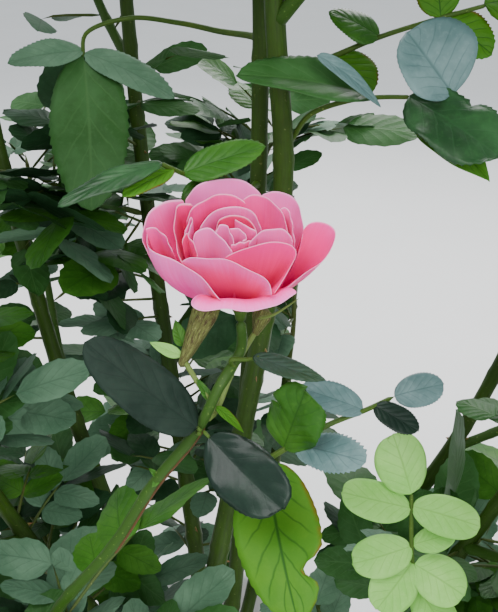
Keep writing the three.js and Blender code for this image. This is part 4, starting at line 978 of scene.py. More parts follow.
def horn_material(name):
    """Prickles, redder towards their tips."""
    s = Surface(name)
    s.set(s.mix(s.step(s.axes()[1], 0.1, 0.8), tone(104, 100, 50), tone(134, 82, 46)), 0.45)
    return s.material


# Meshes
SEAM = 0.05
TUBE_END = 0.02
MAP_LENGTH = 40


def mesh_of(name, bm):
    """The mesh of a bmesh, which it frees."""
    mesh = bpy.data.meshes.new(name)
    bm.to_mesh(mesh)
    bm.free()
    return mesh


def arrays_of(bm):
    """Places and faces of a bmesh, which it frees."""
    bm.verts.ensure_lookup_table()
    spots = np.array([tuple(v.co) for v in bm.verts])
    faces = np.array([[v.index for v in f.verts] for f in bm.faces])
    bm.free()
    return spots, faces


def placed(name, data):
    thing = bpy.data.objects.new(name, data)
    bpy.context.scene.collection.objects.link(thing)
    return thing


def grid(columns, rows):
    """Places (across from -1 to 1, along from 0 to 1) and faces of a flat bmesh grid."""
    bm = bmesh.new()
    bmesh.ops.create_grid(bm, x_segments=columns, y_segments=rows, size=1)
    spots, faces = arrays_of(bm)
    return np.stack((spots[:, 0], (spots[:, 1] + 1) / 2), 1), faces


def smooth(mesh):
    mesh.polygons.foreach_set("use_smooth", np.ones(len(mesh.polygons), bool))


def seat(piece, replaced=()):
    """Smooths a finished piece and says what it rides on and the nodes that it replaces."""
    smooth(piece.data)
    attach(piece, BODY)
    if replaced:
        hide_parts(*replaced)
    return piece


def close_seams(mesh):
    """Joins the doubled seams of tubes and the drawn-in ends of tubes and leaves."""
    bm = bmesh.new()
    bm.from_mesh(mesh)
    bmesh.ops.remove_doubles(bm, verts=bm.verts, dist=SEAM * MM)
    bm.to_mesh(mesh)
    bm.free()


def piece_of(name, arrays, materials, replaced=(), face_slots=None, mapped=True, merged=True):
    """A finished piece from joined arrays, in millimetres, that rides on the plant."""
    coords, faces, maps = arrays
    mesh = bpy.data.meshes.new(name)
    mesh.from_pydata((coords * MM).tolist(), [], faces.tolist())
    if mapped:
        layer = mesh.uv_layers.new(name="UVMap")
        layer.data.foreach_set("uv", maps[faces.ravel()].astype(np.float32).ravel())
    if face_slots is not None:
        mesh.polygons.foreach_set("material_index", face_slots.astype(np.int32))
    for mat in materials:
        mesh.materials.append(mat)
    mesh.update()
    if merged:
        close_seams(mesh)
    return seat(placed(name, mesh), replaced)


def join_arrays(parts):
    """Several (coords, faces, maps) as one."""
    coords, faces, maps = zip(*parts)
    starts = np.cumsum([0, *map(len, coords)])
    faces = [f + start for f, start in zip(faces, starts)]
    return np.concatenate(coords), np.concatenate(faces), np.concatenate(maps)


def tube_rings(way, shares):
    """Place, across and beside of rings along a way."""
    at = np.array([way.at(s) for s in shares])
    along = np.array([way.along(s) for s in shares])
    across = np.zeros_like(at)
    side = SIDEWAYS
    for i, ahead in enumerate(along):
        side = across_of(ahead, side)
        across[i] = side
    return at, across, np.cross(across, along)


def tube(way, radius_at, sides, rings):
    """A tube along a way as arrays: its seam is doubled for the map, its ends are drawn in."""
    spots, faces = grid(sides, rings)
    shares = np.linspace(0, 1, rings + 1)
    at, across, beside = tube_rings(way, shares)
    row = np.rint(spots[:, 1] * rings).astype(int)
    angle = spots[:, 0] * math.pi
    radius = np.array([radius_at(shares[r], a) for r, a in zip(row, angle)])
    radius = np.where((row == 0) | (row == rings), TUBE_END, radius)
    out, aside = ((turn(angle) * radius)[:, None] for turn in (np.cos, np.sin))
    coords = at[row] + across[row] * out + beside[row] * aside
    maps = np.stack(((spots[:, 0] + 1) / 2, spots[:, 1] * way.length / MAP_LENGTH), 1)
    return coords, faces[:, ::-1], maps


def stalk_tube(places, radii, sides=6, rings=6):
    return tube(Way(places), lambda t, _: between(radii, t), sides, rings)


def outline(v, root, tip):
    """Half width of a leaflet along its length, 1 where it is widest. A lower number rounds its end."""
    widest = root / (root + tip)
    return v ** root * (1 - v) ** tip / (widest ** root * (1 - widest) ** tip)


# The usual looks of a leaf: least value, spread and which of its random draws moves it
LEAF_LOOKS = {
    "root": (0.46, 0.12, 0), "tip": (0.58, 0.16, 1), "fold": (0.05, 0.22, 0), "arch": (0.02, 0.1, 1),
    "droop": (0.05, 0.1, 2), "twist": (-0.25, 0.5, 3), "ripple": (0.02, 0.04, 4), "phase": (0, 6, 5),
    "bend": (-0.05, 0.1, 6), "teeth": (0.035, 0, 0), "pleat": (0.5, 0, 0), "roll": (0, 0, 0),
}
LEAF_DRAWS = 7
# Side veins sink as pleats: how many, how they slant and how deep they are
PLEATS = {"count": 6, "slant": 0.32, "deep": 0.028}


def leaf_arrays(leaves, columns, rows, draw):
    """Leaflets as one set of arrays: folded along the rib, arched, drooping, toothed at the edge."""
    spots, faces = grid(columns, rows)
    u, v = spots[:, 0], np.clip(spots[:, 1], 0, 1)
    row = np.rint(v * rows).astype(int)
    out = np.abs(u)
    point_row, notch_row = ((out > 0.999) & (row % 2 == odd) for odd in (1, 0))
    parts = []
    for leaf in leaves:
        luck = [draw() for _ in range(LEAF_DRAWS)]
        look = {key: least + spread * luck[i] for key, (least, spread, i) in LEAF_LOOKS.items()}
        look.update(leaf)
        root, tip = look.get("ends", (look["root"], look["tip"]))
        long, wide, teeth, twist = look["length"], look["width"] / 2, look["teeth"], look["twist"]
        half = outline(v, root, tip) * (1 + teeth * point_row - teeth * 0.6 * notch_row)
        at, deep, notch = look.get("torn", (0.5, 0, 1))
        half = half * (1 - deep * np.exp(-((v - at) / notch) ** 2) * (u < 0) * out ** 2)
        x = u * half * wide + look["bend"] * long * v * v
        y = (v + teeth * 0.5 * point_row * (v < 0.97)) * long
        z = (out * look["fold"] - u * u * look["arch"] * 2) * half * wide - look["droop"] * long * v * v
        z = z + look["ripple"] * wide * np.sin(v * 11 + look["phase"] + u * 1.5) * u * u
        pleat = np.cos(2 * np.pi * PLEATS["count"] * (v - PLEATS["slant"] * out ** 0.8)) * out * (1 - out)
        z = z + PLEATS["deep"] * wide * pleat * look["pleat"]
        c, s = np.cos(twist * v + look["roll"]), np.sin(twist * v + look["roll"])
        x, z = x * c - z * s, z * c + x * s
        beside = np.cross(leaf["normal"], leaf["along"])
        coords = leaf["base"] - beside * x[:, None] + leaf["along"] * y[:, None] + leaf["normal"] * z[:, None]
        parts.append((coords, faces[:, ::-1], np.stack(((u + 1) / 2, v), 1)))
    return join_arrays(parts)


# Petals of the first bloom, in its own frame: rim places as right, back and height from the
# middle of the cup, how far the belly swells past the rim, how much higher it is carried than a
# plain cup would be, and how deep the pink is, partly the rose's own colour and partly painted
# shade where the petal sits low in the cup. A row is for places along the rim.
PETALS = {
    "lip": (((-19, -29.5, -6), (-19, -29, -8.5), (-15, -31, -9), (-5, -31, -8.5), (5, -32, -8.5),
             (14, -29.5, -8), (20, -25.5, -6.5), (23, -24.5, -5.5)), 0.84, 27, 0.04),
    "right": (((26.5, 8.5, 2), (29, 11, 4), (34, 10.5, 5), (39.5, 6.5, 4), (39.5, 1, 2), (34, -7, -2),
               (26.5, -13.5, -4), (14, -23, -8)), (0.85, 0.75), (0, 14), 0.36),
    "left": (((-24.5, 26, 6), (-33, 22.5, 7), (-39, 17.5, 4.5), (-41.5, 9.5, -1), (-38.5, 0.5, -5)),
             0.9, 0, 0.1),
    "front_left": (((-39.5, 10, 2), (-38, 0, 0.5), (-34, -5, 0), (-23, -12, 0), (-13.5, -21, -2),
                    (-7.5, -28, -6)), (1.05, 1.03, 0.92), (0, 4, 17), 0.14),
    "back": (((-24.5, 30, 3), (-18.5, 36.5, 7), (-9, 38.5, 8.5), (1, 38.5, 8), (7, 35.5, 5),
              (9.5, 35, 2)), 0.95, 0, 0.04),
    "right_back": (((9, 32.5, 4), (14.5, 32.5, 6), (22, 29, 6), (25.5, 22.5, 4), (26.5, 12, 1),
                    (26, 6, -1)), 0.95, 0, 0.12),
    "fold_left": (((-39.5, 6.5, 4), (-36.5, 6.5, 5), (-31, 0.5, 5.5), (-29, -3, 4.5), (-27.5, -7.5, 3)),
                  (0.95, 0.93, 0.8), 0, 0.32),
    "front": (((-23.5, -11, 0), (-20, -13.5, 4), (-13, -16, 6), (-4, -19, 7), (5.5, -24, 5),
               (11.5, -25.5, 1), (12.5, -27.5, -4)), (0.82, 0.84, 0.8), (9, 17, 18), 0.18),
    "second_left": (((-20, 18, 9), (-25.5, 18, 9), (-27, 11, 8.5), (-26.5, 0.5, 6), (-25, -7.5, 4),
                     (-23, -13, 1)), (0.98, 0.96, 0.8), 0, 0.42),
    "left_fold": (((-23, -6, 6), (-21.5, -2.5, 8.5), (-19, -7, 8), (-17, -10, 6), (-17, -11.5, 3)),
                  1, 0, 0.66),
    "left_sliver": (((-22, -3, 8), (-21, 1.5, 10), (-19.5, 5.5, 11), (-19.5, 0.5, 10), (-21, -3, 8)),
                    1.05, 0, 0.15),
    "second_back": (((-22, 4.5, 9), (-19, 13, 11), (-14, 17.5, 11.5), (-9, 22.5, 11), (-3, 21.5, 11),
                     (2.5, 18.5, 9)), 1.05, 0, 0.36),
    "second_right": (((1, 21, 9), (5, 23, 10.5), (11, 20.5, 10.5), (16, 13, 10), (18.5, 6, 9),
                      (19, 0, 7)), 1.05, 0, 0.36),
    "right_sliver": (((16.5, 13.5, 9), (18.5, 14, 10), (20.5, 11, 9), (21.5, 2.5, 7), (22, -4.5, 5)),
                     1, 0, 0.22),
    "front_right": (((-6, -16, 6), (3, -14, 10), (15.5, -11.5, 10.5), (21, -11.5, 8.5), (22.5, -13, 6),
                     (20.5, -16, 1.5), (16.5, -20, -3), (13.5, -24.5, -6)), (0.8, 0.86, 0.8),
                    (10, 14, 16), 0.5),
    "third_left": (((-19, -5.5, 4), (-18, -2.5, 8), (-13.5, -1, 10), (-9, -4, 10), (-5.5, -8.5, 8.5),
                    (-2.5, -12.5, 7)), 1.1, 0, 0.12),
    "third_right": (((3.5, -9.5, 8), (6.5, -5, 10), (12, -2.5, 10.5), (17.5, -2, 10), (19.5, -3, 8.5),
                     (21, -6.5, 7)), 1.1, 0, 0.2),
    "ring": (((-16, 2.5, 7), (-12.5, 9, 9.5), (-7, 13, 10), (0, 14, 10), (5.5, 10, 9.5), (8.5, 2, 7)),
             1.1, 0, 0.2),
    "heart": (((-9.5, -2.5, 9), (-8, 3.5, 10.5), (-3.5, 5.5, 11.5), (1.5, 4, 11.5), (5.5, -0.5, 10.5),
               (6.5, -5.5, 8.5)), 1.1, 0, 1.2),
    "heart_left": (((-9.5, -2.5, 8.5), (-7.5, 0.5, 10.5), (-5, -0.5, 11), (-3, -5, 10), (-2, -9, 8)),
                   1.1, 0, 0.12),
    "heart_flap": (((-2, 4, 10.5), (0.5, 1, 11), (3.5, -2, 11), (6.5, -3.5, 10), (5.5, -6, 9)), 1, 0, 0.3),
    "heart_core": (((-4, -1, 9.5), (-1.5, -1, 10), (1, -3, 10), (2.5, -6.5, 9.5), (1, -7.5, 8.5)),
                   1, 0, 0.15),
    "heart_front": (((-3.5, -10, 8), (-0.5, -9.5, 9), (3, -8.5, 9), (5, -6.5, 8.5)), 1.1, 0, 0.3),
}
PETAL_GRID = (22, 14)
PETAL_CLAW = 0.1
PETAL_ROLL = 0.7
PETAL_WAVE = 0.3
PETAL_HEIGHT = (0.78, 0.22)
PETAL_LUCK = 0.06


def eased(u, row):
    """The values of a row, evenly spread over -1 to 1, joined without a crease."""
    row = np.atleast_1d(row)
    return np.polyval(np.polyfit(np.linspace(-1, 1, len(row)), row, len(row) - 1), u)


def petal_arrays(rim, belly, lift, luck):
    """One petal swept from its claw, out round its belly, to a rim that waves and rolls out a little."""
    spots, faces = grid(*PETAL_GRID)
    way = Way(rim)
    columns = PETAL_GRID[0]
    rims = np.array([way.at(i / columns) for i in range(columns + 1)])
    end = rims[np.rint((spots[:, 0] + 1) / 2 * columns).astype(int)]
    belly, lift = (eased(spots[:, 0], row) for row in (belly, lift))
    t = spots[:, 1] ** 0.8
    bend = 2 * t * (1 - t)
    spread = PETAL_CLAW * (1 - t) ** 2 + bend * belly + t * t
    middle = BLOOM_FOOT * PETAL_HEIGHT[0] + end[:, 2] * PETAL_HEIGHT[1] + lift
    height = BLOOM_FOOT * (1 - t) ** 2 + middle * bend + end[:, 2] * t * t
    away = PETAL_ROLL * t ** 9 + PETAL_WAVE * np.sin(spots[:, 0] * 9 + luck * 40) * t ** 5
    spread = spread + away / np.maximum(np.hypot(end[:, 0], end[:, 1]), 4)
    height = height - 0.4 * away
    coords = np.stack((end[:, 0] * spread, end[:, 1] * spread, height), 1)
    return coords, faces, np.stack(((spots[:, 0] + 1) / 2, t), 1)


def frame_of(axis):
    """The turn that takes +Z to an axis, as a matrix of columns."""
    return np.array(Vector((0, 0, 1)).rotation_difference(Vector(axis)).to_matrix())


def bloom_piece(name, petals, centre, axis, scale, node):
    turn = frame_of(axis)
    draw = seeded(len(name) * 7)
    parts, depths = [], []
    for rim, belly, lift, depth in petals:
        coords, faces, maps = petal_arrays(rim, belly, lift, draw())
        parts.append((centre + coords * scale @ turn.T, faces, maps))
        # Each petal's depth deepens its pink: partly its own colour, partly painted shade low in the cup.
        depths.append(np.full(len(coords), depth + PETAL_LUCK * (draw() - 0.5)))
    # Inner faces deepen more down the petal than outer ones: partly the rose's own colour, partly painted
    # shade inside the cup.
    mats = [petal_material(name + "_outside", 0.62, 0.0), petal_material(name + "_inside", 1.0, 0.1)]
    piece = piece_of(name, join_arrays(parts), mats, (node,), merged=False)
    depth = piece.data.attributes.new("depth", "FLOAT", "POINT")
    depth.data.foreach_set("value", np.concatenate(depths))
    wall = piece.modifiers.new("Wall", "SOLIDIFY")
    wall.thickness = sizes().petal
    wall.offset = 0
    wall.material_offset = 1
    softened = piece.modifiers.new("Smooth", "SUBSURF")
    softened.levels = softened.render_levels = 1


# The cup under a bloom, as radius and height over its foot, and its five sepals
CUP = ((0.1, -CALYX_LOW), (2.5, -CALYX_LOW), (2.8, -3.5), (4.2, 0), (4.6, 3), (0.1, 4))
SEPALS = {"count": 5, "first": 0.4, "root": (2.5, 1), "tip": (15, 12), "width": 6}


def sepal_arrays(centre, axis, scale, seed):
    """Receptacle and sepals under a bloom."""
    turn = frame_of(axis)
    draw = seeded(seed)
    spots, faces = grid(16, len(CUP) - 1)
    ring = np.array(CUP)[np.rint(spots[:, 1] * (len(CUP) - 1)).astype(int)]
    angle = spots[:, 0] * math.pi
    cup = np.stack((ring[:, 0] * np.cos(angle), ring[:, 0] * np.sin(angle), ring[:, 1] + BLOOM_FOOT), 1)
    parts = [(cup, faces, (spots + (1, 0)) / (2, 1))]
    for i in range(SEPALS["count"]):
        a = i * math.tau / SEPALS["count"] + SEPALS["first"]
        out = point(math.cos(a), math.sin(a), 0)
        root, tip = (out * away + UP * (BLOOM_FOOT + high) for away, high in (SEPALS["root"], SEPALS["tip"]))
        leaf = leaf_at(root, tip, SEPALS["width"], UP)
        leaf.update(ends=(0.4, 1.1), teeth=0.0, fold=0.3, arch=0.2, droop=0.1 * draw(), twist=draw() - 0.5)
        parts.append(leaf_arrays([leaf], 4, 10, draw))
    coords, faces, maps = join_arrays(parts)
    return centre + coords * scale @ turn.T, faces, maps


# Rings of a later bloom, as count, radius, height, belly and depth, the depth being deeper pink and painted
# shade towards the heart: the source's, then finer ones
RINGS = ((5, 37, -2, 0.98, 0.05), (4, 26, 6, 1.05, 0.2), (2, 13, 10, 1.1, 0.35), (5, 32, 3, 1.0, 0.12),
         (4, 19, 9, 1.1, 0.3), (3, 7, 11, 1.1, 0.5))
# Places along a ring petal's rim, how far it overlaps its neighbours, leans and drops at its ends
RING_RIM = (-1, -0.35, 0.35, 1)
RING_SHAPE = {"overlap": 1.25, "lean": 0.07, "drop": 7}


def ring_petals(seed):
    draw = seeded(seed)
    petals = []
    for ring, (number, radius, height, belly, depth) in enumerate(RINGS):
        for i in range(number):
            middle = (i + 0.5 * ring + 0.3 * draw()) * math.tau / number
            half = math.pi / number * RING_SHAPE["overlap"]
            reach = radius * (0.98 + 0.04 * draw())
            rim = []
            for u in RING_RIM:
                a = middle + u * half
                r = reach * (1 + RING_SHAPE["lean"] * u)
                high = height - RING_SHAPE["drop"] * u * u + 2 * draw()
                rim.append((r * math.cos(a), r * math.sin(a), high))
            petals.append((rim, belly, 0, depth))
    return petals


# Operators
class RoseOperator(Operator):
    bl_options = {"REGISTER", "UNDO"}

    def execute(self, context):
        self.build()
        return {"FINISHED"}


# The floor, the light of the sky, and each lamp's place, power and size
FLOOR_SIZE = 8
SKY = {"colour": (0.88, 0.94, 1.0, 1), "strength": 1.08}
LAMP_COLOUR = (1.0, 0.985, 0.99)
LAMPS_AIM = Vector((0.0, -0.05, 0.7))
LAMPS = {
    "light_over": ((-0.6, -0.5, 2.6), 80, 1.8),
    "light_front": ((0.9, -2.2, 1.7), 50, 1.4),
    "light_behind": ((0.4, 1.8, 2.0), 52, 1.2),
}


class ROSE_OT_stage(RoseOperator):
    """Pale floor, soft light and the camera of the front view"""

    bl_idname = "rose.stage"
    bl_label = "Stage"

    def build(self):
        bm = bmesh.new()
        bmesh.ops.create_grid(bm, x_segments=1, y_segments=1, size=FLOOR_SIZE)
        floor = placed("floor", mesh_of("floor", bm))
        s = Surface("floor_pale")
        s.set(s.mix(s.noise(3.0), tone(212, 212, 209), tone(220, 220, 218)), 0.85)
        floor.data.materials.append(s.material)
        world = bpy.data.worlds.new("soft_day")
        bpy.context.scene.world = world
        world.use_nodes = True
        sky = world.node_tree.nodes["Background"]
        sky.inputs[0].default_value = SKY["colour"]
        sky.inputs[1].default_value = SKY["strength"]
        for name, (spot, power, size) in LAMPS.items():
            lamp = bpy.data.lights.new(name, "AREA")
            lamp.energy = power
            lamp.size = size
            lamp.color = LAMP_COLOUR
            light = placed(name, lamp)
            light.location = spot
            light.rotation_euler = (LAMPS_AIM - Vector(spot)).to_track_quat("-Z", "Y").to_euler()
        cam = bpy.data.cameras.new("front_view")
        cam.lens = LENS
        cam.sensor_width = SENSOR
        cam.clip_start = CLIP_START
        camera = placed("front_view", cam)
        camera.location = Vector(EYE * MM)
        camera.rotation_euler = (math.pi / 2 - PITCH, 0, 0)
        bpy.context.scene.camera = camera


def pot_wall(z):
    """Outer radius of the pot's tapered wall at a height."""
    top = POT["rim"] - POT["lip"] - POT["wall"]
    return between((POT["foot"], top), z / POT["height"])


def inside_pot(z):
    return pot_wall(z) - POT["wall"] - GAP * 2


def spun(name, profile, steps, mats, slot):
    """A piece turned from a profile of (radius, height) round the pot's axis, in place of the slot's node."""
    bm = bmesh.new()
    line = [bm.verts.new((r, 0, z)) for r, z in profile]
    edges = [bm.edges.new(pair) for pair in zip(line, line[1:])]
    bmesh.ops.spin(bm, geom=line + edges, axis=(0, 0, 1), cent=(0, 0, 0), angle=math.tau, steps=steps,
                   use_merge=True)
    bmesh.ops.remove_doubles(bm, verts=bm.verts, dist=0.01)
    bmesh.ops.recalc_face_normals(bm, faces=bm.faces)
    bmesh.ops.scale(bm, vec=(MM, MM, MM), verts=bm.verts)
    mesh = mesh_of(name, bm)
    for mat in mats:
        mesh.materials.append(mat)
    seat(placed(name, mesh), (slot,))


# How far under the pot's top its inner wall starts, and into how many steps the rolled rim is cut
POT_MOUTH = 20
ROLL_STEPS = 14


class ROSE_OT_pot(RoseOperator):
    """Round white pot with a collar and a rolled rim"""

    bl_idname = "rose.pot"
    bl_label = "Pot"

    def build(self):
        top, foot, lip, step = (POT[key] for key in ("height", "foot", "lip", "step"))
        roll_at, roll_high = POT["rim"] - lip, top - lip
        turns = [math.pi * (1.5 * i / ROLL_STEPS - 0.5) for i in range(ROLL_STEPS + 1)]
        roll = [(roll_at + lip * math.cos(a), roll_high + lip * math.sin(a)) for a in turns]
        collar = top - lip * 2 - POT["collar"]
        below = top - lip * 2
        mouth = top - POT_MOUTH
        wall = POT["wall"]
        profile = [
            (0, 3), (foot - 14, 3), (foot - 12, 0), (foot - 4, 0), (foot - 1.2, 1), (foot, 4),
            (pot_wall(collar * 0.5), collar * 0.5), (pot_wall(collar) - 0.4, collar - 1),
            (pot_wall(collar) + 0.6, collar), (pot_wall(collar) + step, collar + step),
            (pot_wall(collar) + step + 0.8, collar + step + 2),
            (roll_at - 0.6, below - 3), (roll_at, below - 1),
            *roll, (pot_wall(mouth) - wall + 1, top - 12), (pot_wall(mouth) - wall, mouth),
            (pot_wall(POT["floor"]) - wall, POT["floor"]), (0, POT["floor"]),
        ]
        spun("pot_shell", profile, 96, [plastic_material("pot_plastic")], "pot")


# Loose chunks: how they keep inside the pot, lie on the bed and are shared out among three colours
CHUNKS = {"seed": 77, "spread": 0.985, "bed": 4, "edge": 12, "dip": 3, "clear": 4}
CHUNK_KINDS = ((0.62, 0), (0.7, 1))


class ROSE_OT_medium(RoseOperator):
    """Growing medium: a bed with loose red-brown chunks over it"""

    bl_idname = "rose.medium"
    bl_label = "Growing medium"

    def build(self):
        mats = [chunk_material("medium_red", own_colour("medium"), (70, 36, 28)),
                chunk_material("medium_brown", tone(96, 66, 46), (52, 34, 24)),
                chunk_material("medium_pale", tone(168, 132, 100), (110, 74, 52))]
        edge = MEDIUM["level"] - MEDIUM["crown"]
        low = POT["floor"] + GAP
        bed = MEDIUM["level"] - CHUNKS["bed"]
        profile = [(0, low), (inside_pot(low), low), (inside_pot(edge), edge - 3),
                   (inside_pot(edge) - CHUNKS["edge"], bed - 2), (UNION["radius"] * 2, bed), (0, bed)]
        spun("medium_bed", profile, 64, mats[:1], "growing_medium")
        bm = bmesh.new()
        bmesh.ops.create_icosphere(bm, subdivisions=1, radius=1)
        shape, faces = arrays_of(bm)
        draw = seeded(CHUNKS["seed"])
        size = sizes().chunk / MM
        widest = inside_pot(edge)
        parts, kinds = [], []
        for _ in range(sizes().chunks):
            r = widest * math.sqrt(draw()) * CHUNKS["spread"]
            a = draw() * math.tau
            big = size * (0.45 + 0.9 * draw() ** 2)
            stretch = np.array([0.7 + 0.6 * draw(), 0.6 + 0.5 * draw(), 0.45 + 0.4 * draw()]) * big / 2
            jag = np.array([0.75 + 0.5 * draw() for _ in shape])
            spin = frame_of(unit(point(draw() - 0.5, draw() - 0.5, 0.3 + draw())))
            chunk = (shape * jag[:, None] * stretch) @ spin.T
            lift = bed - (CHUNKS["dip"] if r > widest - CHUNKS["edge"] else 0) + draw() * 2.5
            reach = r * min(1, (widest - big / 2 - 1) / max(r, 1))
            if reach < UNION["radius"] - CHUNKS["clear"]:
                continue
            spot = point(reach * math.cos(a), reach * math.sin(a), lift)
            parts.append((chunk + spot, faces, np.zeros((len(shape), 2))))
            kinds += [next((kind for share, kind in CHUNK_KINDS if draw() < share), 2)] * len(faces)
        piece_of("medium_chunks", join_arrays(parts), mats, face_slots=np.array(kinds),
                 mapped=False)


# Rings where leaves once stood: how far apart, how much thicker there and how far that reaches
SWELLINGS = {"cane": (46, 0.12), "bough": (38, 0.16)}
SWELL_REACH = 3.2


def swelling(kind, t, way, start):
    pitch, size = SWELLINGS[kind]
    along = (t * way.length + start) / pitch
    near = abs(along - round(along)) * pitch
    return size * math.exp(-(near / SWELL_REACH) ** 2)


# The old cane ends in a knob: how thick, where along the cane and over how much of it
KNOB = (0.35, 0.97, 0.05)
LUMPS = {"old_bark": 0.16, "cane_rind": 0.05}
LUMP_ROUND = 1.3
LUMP_LONG = 22


def cane_radius(way, radii, i, bark):
    """A cane's radius: tapering, lumpy, swollen where leaves stood and knobbed at an old end."""
    def radius(t, a):
        across = (math.cos(a) * LUMP_ROUND, math.sin(a) * LUMP_ROUND)
        lump = noise.noise(Vector((*across, t * way.length / LUMP_LONG + i * 9)))
        knob = KNOB[0] * math.exp(-((t - KNOB[1]) / KNOB[2]) ** 2) if bark == "old_bark" else 0
        return between(radii, t) * (0.97 + LUMPS[bark] * lump + swelling("cane", t, way, i * 13) + knob)
    return radius


UNION_STUB = {"back": 18, "ahead": 3, "thick": (1.9, 1.05)}
UNION_SKIN = {"voxel": 0.0013, "smooth": 0.6, "fine": 90, "relief": 0.0011}


class ROSE_OT_canes(RoseOperator):
    """Bud union and canes with bark relief"""

    bl_idname = "rose.canes"
    bl_label = "Bud union and canes"

    def build(self):
        old = "cane_front_old"
        tubes = {}
        for i, name in enumerate(CANES):
            way, radii = LIMBS[name]
            radius = cane_radius(way, radii, i, "old_bark" if name == old else "cane_rind")
            tubes[name] = tube(way, radius, 18, max(30, int(way.length / 5)))
        old_tube = tubes.pop(old)
        piece_of("canes", join_arrays(tubes.values()), rind("cane_rind"), list(tubes))
        piece_of("old_front_cane", old_tube, rind("old_bark"), (old,))
        self.union()

    def union(self):
        """A knobbly foot with a stub for each cane, remeshed into one body."""
        bm = bmesh.new()
        bmesh.ops.create_uvsphere(bm, u_segments=24, v_segments=14, radius=UNION["radius"])
        bmesh.ops.scale(bm, vec=(1, 1, 0.92), verts=bm.verts)
        bmesh.ops.translate(bm, vec=(0, 0, SOIL + UNION["radius"] * 0.5), verts=bm.verts)
        mesh = mesh_of("bud_union_bark", bm)
        coords = np.array([tuple(v.co) for v in mesh.vertices])
        faces = [list(p.vertices) for p in mesh.polygons]
        for name in CANES:
            way, radii = LIMBS[name]
            foot, along = way.at(0), way.along(0)
            stub = [HEART, foot - along * UNION_STUB["back"], foot + along * UNION_STUB["ahead"]]
            c, f, _ = stalk_tube(stub, [radii[0] * share for share in UNION_STUB["thick"]], 12, 8)
            faces += (f + len(coords)).tolist()
            coords = np.concatenate((coords, c))
        mesh.clear_geometry()
        mesh.from_pydata((coords * MM).tolist(), [], faces)
        piece = placed("bud_union_bark", mesh)
        remesh = piece.modifiers.new("Skin", "REMESH")
        remesh.mode = "VOXEL"
        remesh.voxel_size = UNION_SKIN["voxel"]
        apply_modifiers(piece)
        bm = bmesh.new()
        bm.from_mesh(piece.data)
        for _ in range(2):
            bmesh.ops.smooth_vert(bm, verts=bm.verts, factor=UNION_SKIN["smooth"])
        for v in bm.verts:
            v.co += v.normal * UNION_SKIN["relief"] * noise.fractal(v.co * UNION_SKIN["fine"], 0.6, 2.0, 4)
        bmesh.ops.bisect_plane(bm, geom=bm.verts[:] + bm.edges[:] + bm.faces[:], plane_co=(0, 0, SOIL * MM),
                               plane_no=(0, 0, -1), clear_outer=True)
        bm.to_mesh(piece.data)
        bm.free()
        piece.data.materials.append(rind("old_bark")[0])
        seat(piece, ("bud_union",))


def apply_modifiers(piece):
    """The piece's mesh as its modifiers make it, with none left."""
    graph = bpy.context.evaluated_depsgraph_get()
    made = bpy.data.meshes.new_from_object(piece.evaluated_get(graph))
    old = piece.data
    piece.modifiers.clear()
    piece.data = made
    bpy.data.meshes.remove(old)


RIDGE = {"from": 0.3, "to": 0.72, "places": 9}
PRICKLES = {"seed": 5, "pitch": 80, "first": 0.05, "spread": 0.9, "turned_to_eye": 0.3}
# A prickle in shares of its height: half its foot along the limb and across it, and how far it hooks
PRICKLE = {"along": 0.55, "across": 0.2, "hook": 0.35}


class ROSE_OT_boughs(RoseOperator):
    """Side boughs and the flowering stem, with prickles on them and on the canes"""

    bl_idname = "rose.boughs"
    bl_label = "Boughs and flowering stem"

    def build(self):
        names = ["flowering_stem", *LATERALS]
        for piece_name, limbs in (("flowering_stem_rind", names[:1]), ("bough_rind", names[1:])):
            parts = []
            for i, name in enumerate(limbs):
                way, radii = LIMBS[name]

                def radius(t, _, way=way, radii=radii, start=i * 11 + 9):
                    return between(radii, t) * (1 + swelling("bough", t, way, start))

                parts.append(tube(way, radius, 14, max(20, int(way.length / 4))))
            piece_of(piece_name, join_arrays(parts), rind("stem_rind"), limbs)
        self.ridge()
        self.prickles()

    def ridge(self):
        """A reddish ridge down the side of the flowering stem."""
        way, radii = LIMBS["flowering_stem"]
        places = []
        for t in np.linspace(RIDGE["from"], RIDGE["to"], RIDGE["places"]):
            side = unit(np.cross(EYE_AHEAD, way.along(t)))
            places.append(way.at(t) + side * between(radii, t) - EYE_AHEAD)
        piece_of("stem_ridge", stalk_tube(places, (0.8, 0.6), 8, 40), rind("stem_ridge"))

    def prickles(self):
        """Flattened, hooked prickles scattered along canes and boughs."""
        spots, faces = grid(6, 5)
        angle, rise = spots[:, 0] * math.pi, spots[:, 1]
        taper = (1 - rise) ** 1.3
        maps = np.stack(((spots[:, 0] + 1) / 2, rise), 1)
        draw = seeded(PRICKLES["seed"])
        parts = []
        size = sizes().prickle / MM
        for name, (way, radii) in LIMBS.items():
            in_view = name == "flowering_stem"
            number = int(way.length / PRICKLES["pitch"])
            for i in range(number):
                t = PRICKLES["first"] + PRICKLES["spread"] * (i + draw()) / number
                at, along = way.at(t), way.along(t)
                out = turned(across_of(along), along, draw() * math.tau)
                high = size * (0.6 + 0.5 * draw()) * (0.5 if in_view else 1)
                if in_view and out @ unit(EYE - at) > PRICKLES["turned_to_eye"]:
                    continue
                up = rise * high
                ahead = np.cos(angle) * taper * high * PRICKLE["along"] - rise ** 2 * high * PRICKLE["hook"]
                aside = np.sin(angle) * taper * high * PRICKLE["across"]
                base = at + out * (between(radii, t) * 0.9)
                coords = (base + out * up[:, None] + along * ahead[:, None]
                          + np.cross(along, out) * aside[:, None])
                parts.append((coords, faces[:, ::-1], maps))
        piece_of("prickles", join_arrays(parts), [horn_material("prickle_horn")])


